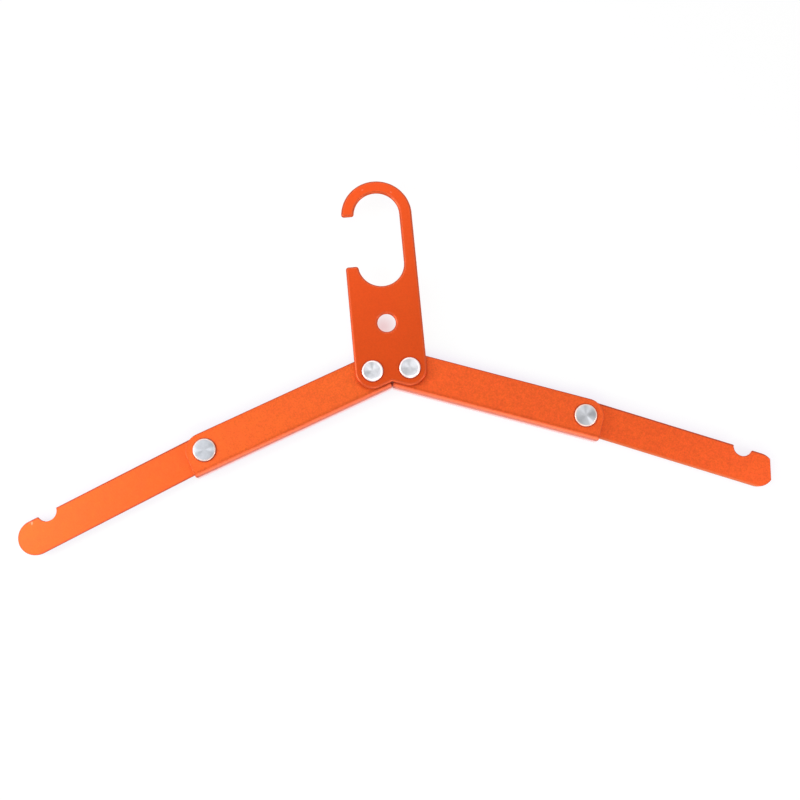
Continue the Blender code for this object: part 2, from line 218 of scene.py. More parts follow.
class Side(Enum):
    """The hanger's two sides, each with the sign of its direction along X."""

    LEFT = -1
    RIGHT = 1

    def node(self, piece: str) -> str:
        """Return the name of a piece on this side, as the frame has it."""
        return f"{self.name.lower()}_{piece}"

    @property
    def arm_body(self) -> str:
        """Name of the body that the arm and its rivet move with."""
        return self.node("arm")

    @property
    def bar_body(self) -> str:
        """Name of the body that the outer bar moves with."""
        return self.node("bar")


@dataclass(frozen=True)
class Layer:
    """The depths between which a piece lies.

    Attributes:
        front: Depth of its front.
        rear: Depth of its rear.
    """

    front: float
    rear: float

    @classmethod
    def of(cls, node: str) -> "Layer":
        """Return the depths of a node in the frame."""
        low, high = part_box(node)
        return cls(low.y, high.y)

    @property
    def thickness(self) -> float:
        """Distance from the front to the rear."""
        return self.rear - self.front


@dataclass(frozen=True)
class Linkage:
    """Where one side's two pivots lie and how its arm and bar slope, read from the joints.

    Attributes:
        side: The side.
        inner: The pivot of the arm on the hook plate.
        outer: The pivot of the bar on the arm.
        bar_droop: Angle by which the bar slopes down from its arm.
    """

    side: Side
    inner: Vector
    outer: Vector
    bar_droop: float

    @classmethod
    def of(cls, side: Side) -> "Linkage":
        """Return the linkage of one side from the frame's joints.

        Args:
            side: The side.

        Returns:
            Its linkage.
        """
        joints = {joint["name"]: joint for joint in frame["joints"]}
        arm_joint = joints[side.node("arm_fold")]
        bar_joint = joints[side.node("bar_fold")]
        bar_droop = math.radians(bar_joint["range_deg"][1]) - HALF_TURN
        return cls(side, Vector(arm_joint["pos_m"]), Vector(bar_joint["pos_m"]), bar_droop)

    @property
    def reach(self) -> float:
        """Distance between the side's two pivots."""
        return math.hypot(self.outer.x - self.inner.x, self.outer.z - self.inner.z)

    @property
    def arm_droop(self) -> float:
        """Angle by which the arm slopes down from level."""
        return math.asin((self.inner.z - self.outer.z) / self.reach)

    def place(self, pivot: Vector, droop: float = 0.0) -> Matrix:
        """Return a frame that lies on a pivot and slopes down by an angle."""
        turn = Matrix.Rotation(self.side.value * droop, 4, "Y")
        return Matrix.Translation((pivot.x, 0, pivot.z)) @ turn

    @property
    def inner_place(self) -> Matrix:
        """The inner rivet's own frame."""
        return self.place(self.inner)

    @property
    def arm_place(self) -> Matrix:
        """The arm's own frame, which lies on its inner pivot."""
        return self.place(self.inner, self.arm_droop)

    @property
    def outer_place(self) -> Matrix:
        """The outer rivet's own frame, turned with the arm."""
        return self.place(self.outer, self.arm_droop)

    @property
    def bar_place(self) -> Matrix:
        """The bar's own frame, which lies on its pivot."""
        return self.place(self.outer, self.arm_droop + self.bar_droop)


class Fold(ABC):
    """How the flat pattern of a sheet lies in space."""

    @abstractmethod
    def section(self, run: float) -> tuple[Point, Point, Point]:
        """Return how the sheet lies at a run.

        Args:
            run: Distance along the pattern.

        Returns:
            The place, the direction along and the direction inward, each in Y and Z.
        """

    def place(self, across: float, run: float, depth: float) -> Vector:
        """Return where a point of the pattern ends up."""
        start, _, inward = self.section(run)
        return Vector((across, start[0] + depth * inward[0], start[1] + depth * inward[1]))

    def turn(self, run: float, across: float, along: float, deep: float) -> Vector:
        """Return a direction in space.

        Args:
            run: Where on the pattern it holds.
            across: Its share across the sheet.
            along: Its share along the sheet.
            deep: Its share into the sheet.

        Returns:
            The direction, one long.
        """
        _, ahead, inward = self.section(run)
        y = along * ahead[0] + deep * inward[0]
        z = along * ahead[1] + deep * inward[1]
        return Vector((across, y, z)).normalized()


@dataclass(frozen=True)
class FlatLeaf(Fold):
    """A sheet that stays flat, with its run upward.

    Attributes:
        front: Depth of its front.
    """

    front: float

    def section(self, run: float) -> tuple[Point, Point, Point]:
        """Return a flat sheet's place and directions."""
        return (self.front, run), (0.0, 1.0), (1.0, 0.0)


@dataclass(frozen=True)
class ChannelFold(Fold):
    """A sheet folded into a channel that is open at its top.

    The run goes down the front flange, round the web below and up the rear flange.

    Attributes:
        layer: The depths between which the channel lies.
        flange_height: Height of the flanges' top edges above the pivots.
        web_depth: Depth of the web's outer face below the pivots.
        bend_radius: Outer radius of the bends.
    """

    layer: Layer
    flange_height: float
    web_depth: float
    bend_radius: float

    @property
    def flange_run(self) -> float:
        """Run of a flange, from its top edge to its bend."""
        return self.flange_height + self.web_depth - self.bend_radius

    @property
    def bend_run(self) -> float:
        """Run of a bend along the sheet's outer face."""
        return self.bend_radius * QUARTER_TURN

    @property
    def web_run(self) -> float:
        """Run of the web between its two bends."""
        return self.layer.thickness - 2 * self.bend_radius

    @property
    def full_run(self) -> float:
        """Run from the front flange's top edge to the rear flange's."""
        return 2 * (self.flange_run + self.bend_run) + self.web_run

    def fold_lines(self, steps: int) -> list[float]:
        """Return the runs at which the bends are divided."""
        first = [self.flange_run + self.bend_run * step / steps for step in range(steps + 1)]
        return first + [self.full_run - run for run in reversed(first)]

    def section(self, run: float) -> tuple[Point, Point, Point]:
        """Return how the folded sheet lies at a run.

        Args:
            run: Distance along the pattern.

        Returns:
            The place, the direction along and the direction inward, each in Y and Z.
        """
        if run > self.full_run / 2:
            (y, z), along, inward = self.section(self.full_run - run)
            mirrored_y = self.layer.front + self.layer.rear - y
            return (mirrored_y, z), (along[0], -along[1]), (-inward[0], inward[1])
        if run <= self.flange_run:
            return (self.layer.front, self.flange_height - run), (0.0, -1.0), (1.0, 0.0)
        bend_z = self.bend_radius - self.web_depth
        angle = (run - self.flange_run) / self.bend_radius
        if angle < QUARTER_TURN:
            sine, cosine = math.sin(angle), math.cos(angle)
            y = self.layer.front + self.bend_radius * (1 - cosine)
            return (y, bend_z - self.bend_radius * sine), (sine, -cosine), (cosine, sine)
        y = self.layer.front + self.bend_radius + run - self.flange_run - self.bend_run
        return (y, -self.web_depth), (1.0, 0.0), (0.0, 1.0)


@dataclass(frozen=True)
class EdgeRing:
    """One ring of a sheet's rounded edge.

    Attributes:
        inset: How far it lies inside the pattern's outline.
        depth: How deep it lies behind the sheet's outer face.
        outward: How far it faces away from the sheet.
        inward: How far it faces into the sheet's depth.
        wear: How much it wears, from 0 to 1.
    """

    inset: float
    depth: float
    outward: float
    inward: float
    wear: float


@dataclass(frozen=True)
class SheetPattern:
    """The flat pattern of a piece of sheet with rounded edges, and how it is folded.

    Attributes:
        outline: The pattern's outline, across and along the run.
        holes: The outlines of its holes.
        thickness: The sheet's thickness.
        edge_radius: The radius of its rounded edges.
        edge_margin: The width of face beside an edge that wears with it.
        fold: How the pattern lies in space.
        fold_lines: The runs at which the faces are divided, so that they can bend.
        edge_steps: Steps of each rounded edge.
        side_fade: How much less the sheet's side wears than its corners.
    """

    outline: Loop
    holes: list[Loop]
    thickness: float
    edge_radius: float
    edge_margin: float
    fold: Fold
    fold_lines: tuple[float, ...] = ()
    edge_steps: int = 6
    side_fade: float = 0.65

    def edge_rings(self) -> list[EdgeRing]:
        """Return the rings of the edge.

        Returns:
            The rings, from the outer face round to the inner face.
        """
        front = [EdgeRing(self.edge_radius + self.edge_margin, 0, 0, -1, 0)]
        for step in range(self.edge_steps + 1):
            angle = QUARTER_TURN * step / self.edge_steps
            sine, cosine = math.sin(angle), math.cos(angle)
            inset = self.edge_radius * (1 - sine)
            wear = 1 - self.side_fade * step / self.edge_steps
            front.append(EdgeRing(inset, self.edge_radius * (1 - cosine), sine, -cosine, wear))
        rear = [
            EdgeRing(ring.inset, self.thickness - ring.depth, ring.outward, -ring.inward, ring.wear)
            for ring in reversed(front)
        ]
        return front + rear

    def mesh(self, name: str, side: Side) -> bpy.types.Mesh:
        """Build the folded sheet.

        Args:
            name: The mesh's name.
            side: The side that it is for. The pattern is drawn for the right and mirrored for the left.

        Returns:
            A closed mesh with its own normals and a wear attribute.
        """
        flat: Loop = []
        corners: list[Vector] = []
        normals: list[Vector] = []
        wear: list[float] = []
        faces: list[Face] = []
        front_rings: list[list[int]] = []
        rear_rings: list[list[int]] = []
        loops = [wound(self.outline, 1)] + [wound(hole, -1) for hole in self.holes]
        for loop in loops:
            rings = []
            for ring in self.edge_rings():
                rings.append(list(range(len(flat), len(flat) + len(loop))))
                for (across, run), (mitre_across, mitre_run) in zip(loop, mitres(loop)):
                    place = (across - mitre_across * ring.inset, run - mitre_run * ring.inset)
                    share = ring.outward / math.hypot(mitre_across, mitre_run)
                    facing = (mitre_across * share, mitre_run * share, ring.inward)
                    flat.append(place)
                    corners.append(self.fold.place(*place, ring.depth))
                    normals.append(self.fold.turn(place[1], *facing))
                    wear.append(ring.wear)
            for ahead, behind in zip(rings, rings[1:]):
                faces += zip(ahead, ahead[1:] + ahead[:1], behind[1:] + behind[:1], behind)
            front_rings.append(rings[0])
            rear_rings.append(rings[-1])
        faces += self.leaf_faces(flat, front_rings) + self.leaf_faces(flat, rear_rings)
        for vector in corners + normals:
            vector.x *= side.value
        return dressed_mesh(name, corners, facing_out(faces, corners, normals), normals, wear)

    def leaf_faces(self, flat: Loop, rings: list[list[int]]) -> list[Face]:
        """Return the faces that fill one side of the sheet, band by band between the fold lines.

        Args:
            flat: Each corner's place in the flat pattern.
            rings: The corners round the outline and round each hole.

        Returns:
            The triangles, as corner numbers.
        """
        faces: list[Face] = []
        lines = (-math.inf, *self.fold_lines, math.inf)
        for line, following in zip(lines, lines[1:]):
            low, high = line - LINE_TOLERANCE, following + LINE_TOLERANCE
            bands = [[i for i in ring if low <= flat[i][1] <= high] for ring in rings]
            bands = [band for band in bands if len(band) > 2]
            numbers = [i for band in bands for i in band]
            polygons = [[Vector((*flat[i], 0)) for i in band] for band in bands]
            faces += [tuple(numbers[k] for k in triangle) for triangle in tessellate_polygon(polygons)]
        return faces


def wound(loop: Loop, sense: int) -> Loop:
    """Return a loop that winds anticlockwise for a sense of 1 and clockwise for -1."""
    area = sum(a[0] * b[1] - b[0] * a[1] for a, b in zip(loop, loop[1:] + loop[:1]))
    return loop if area * sense > 0 else loop[::-1]


def mitres(loop: Loop) -> Loop:
    """Return how far each corner of a loop moves when its edges move out by one.

    Args:
        loop: The loop, wound with the sheet on its left.

    Returns:
        The moves, corner by corner.
    """
    found: Loop = []
    for before, here, after in zip(loop[-1:] + loop[:-1], loop, loop[1:] + loop[:1]):
        coming = (Vector(here) - Vector(before)).normalized()
        going = (Vector(after) - Vector(here)).normalized()
        first = Vector((coming.y, -coming.x))
        second = Vector((going.y, -going.x))
        mitre = (first + second) / (1 + first.dot(second))
        found.append((mitre.x, mitre.y))
    return found


def facing_out(faces: list[Face], corners: list[Vector], normals: list[Vector]) -> list[Face]:
    """Wind faces so that each faces the way its corners' normals do.

    Args:
        faces: The faces, as corner numbers.
        corners: The corners' places.
        normals: The corners' normals.

    Returns:
        The faces in the same order.
    """
    turned = []
    for face in faces:
        a, b, c = (corners[i] for i in face[:3])
        outward = sum((normals[i] for i in face), Vector())
        turned.append(face if (b - a).cross(c - a).dot(outward) > 0 else face[::-1])
    return turned


def dressed_mesh(
    name: str,
    corners: list[Vector],
    faces: list[Face],
    normals: list[Vector],
    wear: list[float],
) -> bpy.types.Mesh:
    """Return a smooth mesh that keeps its normals and its wear.

    Args:
        name: The mesh's name.
        corners: The corners' places.
        faces: The faces, as corner numbers.
        normals: The corners' normals.
        wear: How much each corner wears, kept as an attribute.

    Returns:
        The mesh.
    """
    mesh = bpy.data.meshes.new(name)
    mesh.from_pydata(corners, [], faces)
    mesh.shade_smooth()
    mesh.normals_split_custom_set_from_vertices(normals)
    mesh.attributes.new(WEAR, "FLOAT", "POINT").data.foreach_set("value", wear)
    return mesh


@dataclass(frozen=True)
class TurnedShape:
    """A piece turned on a lathe about the Y axis.

    Attributes:
        profile: Closed profile of radii and depths.
        steps: Steps round the axis.
        sharp_angle: Angle above which an edge of the profile stays sharp.
    """

    profile: Loop
    steps: int = 128
    sharp_angle: float = math.radians(38)

    def mesh(self, name: str) -> bpy.types.Mesh:
        """Build the turned piece.

        Args:
            name: The mesh's name.

        Returns:
            One closed mesh.
        """
        shape = bmesh.new()
        rings = []
        for radius, depth in self.profile:
            count = self.steps if radius > 0 else 1
            angles = [FULL_TURN * step / self.steps for step in range(count)]
            places = [(radius * math.cos(a), depth, radius * math.sin(a)) for a in angles]
            rings.append([shape.verts.new(place) for place in places])
        for ring, following in zip(rings, rings[1:] + rings[:1]):
            for step in range(self.steps):
                corners = [ring[step % len(ring)], ring[(step + 1) % len(ring)]]
                corners += [following[(step + 1) % len(following)], following[step % len(following)]]
                corners = list(dict.fromkeys(corners))
                if len(corners) > 2:
                    shape.faces.new(corners)
        bmesh.ops.recalc_face_normals(shape, faces=shape.faces[:])
        mesh = bpy.data.meshes.new(name)
        shape.to_mesh(mesh)
        shape.free()
        mesh.shade_smooth()
        mesh.set_sharp_from_angle(angle=self.sharp_angle)
        return mesh


Number = Union["Signal", float]


class Signal:
    """A number that varies over a surface. Python's operators on it add Math nodes."""

    def __init__(self, nodes: "Nodes", socket: bpy.types.NodeSocket) -> None:
        """Wrap an output socket of a node tree."""
        self.nodes = nodes
        self.socket = socket

    def math(self, operation: str, *values: Number) -> "Signal":
        """Return the result of a Math node on the given values."""
        node = self.nodes.add("ShaderNodeMath", {"operation": operation}, dict(enumerate(values)))
        return Signal(self.nodes, node.outputs[0])

    def __add__(self, other: Number) -> "Signal":
        """Return the sum."""
        return self.math("ADD", self, other)

    __radd__ = __add__

    def __sub__(self, other: Number) -> "Signal":
        """Return this less the other."""
        return self.math("SUBTRACT", self, other)

    def __rsub__(self, other: float) -> "Signal":
        """Return the other less this."""
        return self.math("SUBTRACT", other, self)

    def __mul__(self, other: Number) -> "Signal":
        """Return the product."""
        return self.math("MULTIPLY", self, other)

    __rmul__ = __mul__

    def __truediv__(self, other: Number) -> "Signal":
        """Return this over the other."""
        return self.math("DIVIDE", self, other)

    def __rtruediv__(self, other: float) -> "Signal":
        """Return the other over this."""
        return self.math("DIVIDE", other, self)

    def __pow__(self, power: Number) -> "Signal":
        """Return this raised to a power."""
        return self.math("POWER", self, power)

    def __rpow__(self, base: float) -> "Signal":
        """Return a base raised to this."""
        return self.math("POWER", base, self)

    def __abs__(self) -> "Signal":
        """Return the size without its sign."""
        return self.math("ABSOLUTE", self)

    def rise(self, low: float, high: float) -> "Signal":
        """Return a smooth rise from 0 to 1.

        Args:
            low: Where the rise starts. It may be the greater of the two.
            high: Where it ends.

        Returns:
            0 on low's side, 1 on high's side and a smooth step between.
        """
        node = self.nodes.add(
            "ShaderNodeMapRange",
            {"interpolation_type": "SMOOTHSTEP"},
            {"Value": self, "From Min": low, "From Max": high},
        )
        return Signal(self.nodes, node.outputs["Result"])


Input = Union[Signal, bpy.types.NodeSocket, float, tuple[float, ...]]


class Nodes:
    """The node tree of a material or world, with one method that adds any node.

    A Mix node's colour sockets share their names with others, so they go by the numbers kept here.
    """

    NOISE_ROUGHNESS = 0.6
    MIX_FIRST = 6
    MIX_SECOND = 7
    MIX_RESULT = 2

    def __init__(self, owner: bpy.types.Material | bpy.types.World) -> None:
        """Start from an empty node tree.

        Args:
            owner: The material or world that the tree belongs to.
        """
        owner.use_nodes = True
        self.tree = owner.node_tree
        self.tree.nodes.clear()

    def add(
        self,
        kind: str,
        settings: dict[str, Any] | None = None,
        sockets: dict[str | int, Input] | None = None,
    ) -> bpy.types.Node:
        """Add a node.

        Args:
            kind: The node's type.
            settings: The node's own settings, which are set first.
            sockets: Values or links of its inputs, by name or number.

        Returns:
            The node.
        """
        node = self.tree.nodes.new(kind)
        for name, value in (settings or {}).items():
            setattr(node, name, value)
        for key, value in (sockets or {}).items():
            self.plug(node.inputs[key], value)
        return node

    def plug(self, socket: bpy.types.NodeSocket, value: Input) -> None:
        """Link an input, or give it a constant.

        Args:
            socket: The input.
            value: What feeds it.
        """
        if isinstance(value, Signal):
            self.tree.links.new(value.socket, socket)
        elif isinstance(value, bpy.types.NodeSocket):
            self.tree.links.new(value, socket)
        elif socket.type == "RGBA":
            socket.default_value = (*value, 1.0)
        else:
            socket.default_value = value

    def place(self) -> bpy.types.NodeSocket:
        """Return the place on the piece, in the piece's own frame."""
        return self.add("ShaderNodeTexCoord").outputs["Object"]

    def axes(self, place: bpy.types.NodeSocket) -> tuple[Signal, Signal, Signal]:
        """Return the three coordinates of a place."""
        node = self.add("ShaderNodeSeparateXYZ", sockets={"Vector": place})
        return tuple(Signal(self, output) for output in node.outputs)

    def distance(self, place: bpy.types.NodeSocket, x: float, z: float) -> Signal:
        """Return the distance of a place from an axis along Y."""
        across, _, up = self.axes(place)
        return ((across - x) ** 2 + (up - z) ** 2) ** 0.5

    def attribute(self, name: str) -> Signal:
        """Return a number kept on the mesh."""
        return Signal(self, self.add("ShaderNodeAttribute", {"attribute_name": name}).outputs["Fac"])

    def noise(self, place: bpy.types.NodeSocket, size: float, seed: float, detail: float = 2.0) -> Signal:
        """Return a noise about zero.

        Args:
            place: The place at which it is read.
            size: Size of its spots.
            seed: A number that sets its pattern.
            detail: How many finer noises are laid over it.

        Returns:
            The noise, from about -1 to 1.
        """
        node = self.add(
            "ShaderNodeTexNoise",
            {"noise_dimensions": "4D"},
            {
                "Vector": place,
                "W": seed,
                "Scale": 1 / size,
                "Detail": detail,
                "Roughness": self.NOISE_ROUGHNESS,
            },
        )
        return (Signal(self, node.outputs["Fac"]) - 0.5) * 2

    def mix(self, first: Input, second: Input, factor: Input) -> bpy.types.NodeSocket:
        """Return a mix of two colours.

        Args:
            first: The colour at a factor of 0.
            second: The colour at a factor of 1.
            factor: How far the mix has gone, kept between 0 and 1.

        Returns:
            The mixed colour.
        """
        sockets = {"Factor": factor, self.MIX_FIRST: first, self.MIX_SECOND: second}
        node = self.add("ShaderNodeMix", {"data_type": "RGBA", "clamp_factor": True}, sockets)
        return node.outputs[self.MIX_RESULT]

    def shaded(self, colour: Input, shade: Signal) -> bpy.types.NodeSocket:
        """Return a colour made lighter or darker by a number."""
        sockets = {0: colour, "Scale": shade}
        return self.add("ShaderNodeVectorMath", {"operation": "SCALE"}, sockets).outputs[0]

    def open_share(self, lean: Direction, reach: float, samples: int) -> Signal:
        """Return how open the surface is to light.

        Args:
            lean: Direction that the light comes round.
            reach: Distance beyond which a piece gives no shade.
            samples: Rays cast for each sample.

        Returns:
            The open share of the directions.
        """
        normal = self.add("ShaderNodeCombineXYZ", sockets=dict(enumerate(lean))).outputs[0]
        sockets = {"Distance": reach, "Normal": normal}
        node = self.add("ShaderNodeAmbientOcclusion", {"samples": samples}, sockets)
        return Signal(self, node.outputs["AO"])

    def bump(self, height: Signal, distance: float) -> bpy.types.NodeSocket:
        """Return a normal roughened by a height."""
        sockets = {"Height": height, "Distance": distance}
        return self.add("ShaderNodeBump", sockets=sockets).outputs["Normal"]

    def seen(self) -> Signal:
        """Return which rays see the stage.

        Returns:
            1 on rays that see it straight on, mirrored or through glass, and else 0.
        """
        path = self.add("ShaderNodeLightPath")
        names = ("Is Camera Ray", "Is Glossy Ray", "Is Transmission Ray")
        camera, glossy, through = (Signal(self, path.outputs[name]) for name in names)
        return camera.math("MAXIMUM", camera.math("MAXIMUM", camera, glossy), through)

    def mixed_shader(
        self, first: bpy.types.NodeSocket, second: bpy.types.NodeSocket, factor: Input
    ) -> bpy.types.NodeSocket:
        """Return a mix of two shaders."""
        sockets = {0: factor, 1: first, 2: second}
        return self.add("ShaderNodeMixShader", sockets=sockets).outputs[0]

    def close(self, shader: bpy.types.NodeSocket) -> None:
        """Send a shader to the material's surface."""
        self.add("ShaderNodeOutputMaterial", sockets={"Surface": shader})


class Finish(ABC):
    """A surface finish, which makes a material for one piece."""

    @abstractmethod
    def surface(self, nodes: Nodes, seed: float) -> dict[str, Input]:
        """Return the Principled shader's inputs.

        Args:
            nodes: The material's nodes.
            seed: A number that sets the piece's own variation.

        Returns:
            Input values and links by socket name.
        """

    def material(self, name: str, seed: float = 0.0) -> bpy.types.Material:
        """Return a material with this finish.

        Args:
            name: The material's name.
            seed: A number that sets the piece's own variation.

        Returns:
            The material.
        """
        material = bpy.data.materials.new(name)
        nodes = Nodes(material)
        shader = nodes.add("ShaderNodeBsdfPrincipled", sockets=self.surface(nodes, seed))
        nodes.close(shader.outputs["BSDF"])
        return material


@dataclass(frozen=True)
class Scuff:
    """A light rubbed mark on the front of a piece, placed in the piece's own frame.

    Attributes:
        x: Where its middle is along the piece.
        z: How high its middle is.
        length: Half its length.
        width: Half its width.
        angle: How it is turned.
        strength: How far it turns the dye to its own colour.
        depth: Depth in front of which it shows.
        core: Square of the share of its size within which it is full.
    """

    x: float
    z: float
    length: float
    width: float
    angle: float
    strength: float
    depth: float = 0.0
    core: float = 0.1

    def mask(self, nodes: Nodes, place: bpy.types.NodeSocket) -> Signal:
        """Return the mark's mask.

        Args:
            nodes: The material's nodes.
            place: The place on the piece.

        Returns:
            The mark's strength, which is 0 away from it.
        """
        x, y, z = nodes.axes(place)
        along = (x - self.x) * math.cos(self.angle) + (z - self.z) * math.sin(self.angle)
        beside = (z - self.z) * math.cos(self.angle) - (x - self.x) * math.sin(self.angle)
        reach = (along / self.length) ** 2 + (beside / self.width) ** 2
        return reach.rise(1.0, self.core) * y.math("LESS_THAN", y, self.depth) * self.strength


@dataclass(frozen=True)
class PaintedRivetShadow:
    """The painted contact shadow round a rivet's head, a dark line placed in the piece's own frame.

    Attributes:
        x: Where the rivet's axis is along the piece.
        z: How high it is.
        radius: Radius of the rivet's head.
        width: Distance from the head at which the line ends.
        strength: How far the line turns the dye to its own colour beside the head.
    """

    x: float
    z: float
    radius: float
    width: float = 0.0007
    strength: float = 0.7

    def mask(self, nodes: Nodes, place: bpy.types.NodeSocket) -> Signal:
        """Return the painted shadow's mask, which is 0 beyond its width."""
        # Painted shadow: darkest beside the head, fading out over its width.
        distance = nodes.distance(place, self.x, self.z)
        return distance.rise(self.radius + self.width, self.radius) * self.strength


@dataclass(frozen=True)
class ContactShade:
    """The deep shade where another piece stands close above a face.

    Attributes:
        reach: Distance within which a piece gives shade.
        lean: Direction from which the face is lit, and so shaded.
        open_share: Share of open directions above which there is no shade.
        colour: Colour in the deepest shade.
        samples: Rays cast for each sample.
    """

    reach: float = 0.0022
    lean: Direction = (-0.55, -0.62, 0.55)
    open_share: float = 0.90
    colour: Colour = srgb(168, 40, 12)
    samples: int = 3

    def mask(self, nodes: Nodes) -> Signal:
        """Return how deep the shade is, which is 0 in the open."""
        open_share = nodes.open_share(self.lean, self.reach, self.samples)
        return open_share.rise(self.open_share, 0.0)


@dataclass(frozen=True)
class PaintedEdgeLight:
    """A painted line of shade or highlight along a sheet's straight upper or lower edge.

    Attributes:
        edge: Height of the edge, less than zero for a lower edge.
        start: Distance from the edge at which the line starts.
        full: Distance from the edge at which it is full.
        colour: Colour of the line.
    """

    edge: float
    start: float
    full: float
    colour: Colour

    def tint(self, nodes: Nodes, place: bpy.types.NodeSocket, colour: Input) -> bpy.types.NodeSocket:
        """Return the dye's colour with the painted line.

        Args:
            nodes: The material's nodes.
            place: The place on the piece.
            colour: The dye's colour without the line.

        Returns:
            The colour with it.
        """
        # Painted shade or highlight in a band just inside the edge.
        height = nodes.axes(place)[2] * math.copysign(1.0, self.edge)
        line = height.rise(abs(self.edge) - self.start, abs(self.edge) - self.full)
        return nodes.mix(colour, self.colour, line)


@dataclass(frozen=True)
class PaintedFoldLight:
    """Painted light where sheet is folded: painted shade above the bend, a painted highlight on it and a
    painted reflection on the web.

    Attributes:
        crease_start: Height above the web at which the painted shade band starts.
        bend_start: Height above the web at which the bend starts.
        bend_full: Height above the web at which the bend's painted highlight is full.
        crease_shade: How far the painted shade band darkens the dye.
        bend_highlight_colour: Colour of the painted highlight on the bend.
        web_reflection_colour: Colour of the painted reflection on the web.
        web: Height of the web in the piece's own frame.
    """

    crease_start: float
    bend_start: float
    bend_full: float
    crease_shade: float
    bend_highlight_colour: Colour
    web_reflection_colour: Colour
    web: float = 0.0

    def tint(self, nodes: Nodes, place: bpy.types.NodeSocket, colour: Input) -> bpy.types.NodeSocket:
        """Return the dye's colour with the fold's painted shade and light.

        Args:
            nodes: The material's nodes.
            place: The place on the piece.
            colour: The dye's colour on a flat face.

        Returns:
            The colour with the painted shade and light.
        """
        height = nodes.axes(place)[2] - self.web
        # Painted shade above the bend, then a painted highlight on the bend and a painted reflection on
        # the web.
        painted_crease_shade = 1 - height.rise(self.crease_start, self.bend_start) * self.crease_shade
        colour = nodes.shaded(colour, painted_crease_shade)
        colour = nodes.mix(colour, self.bend_highlight_colour, height.rise(self.bend_start, self.bend_full))
        return nodes.mix(colour, self.web_reflection_colour, height.rise(self.bend_full, 0.0))


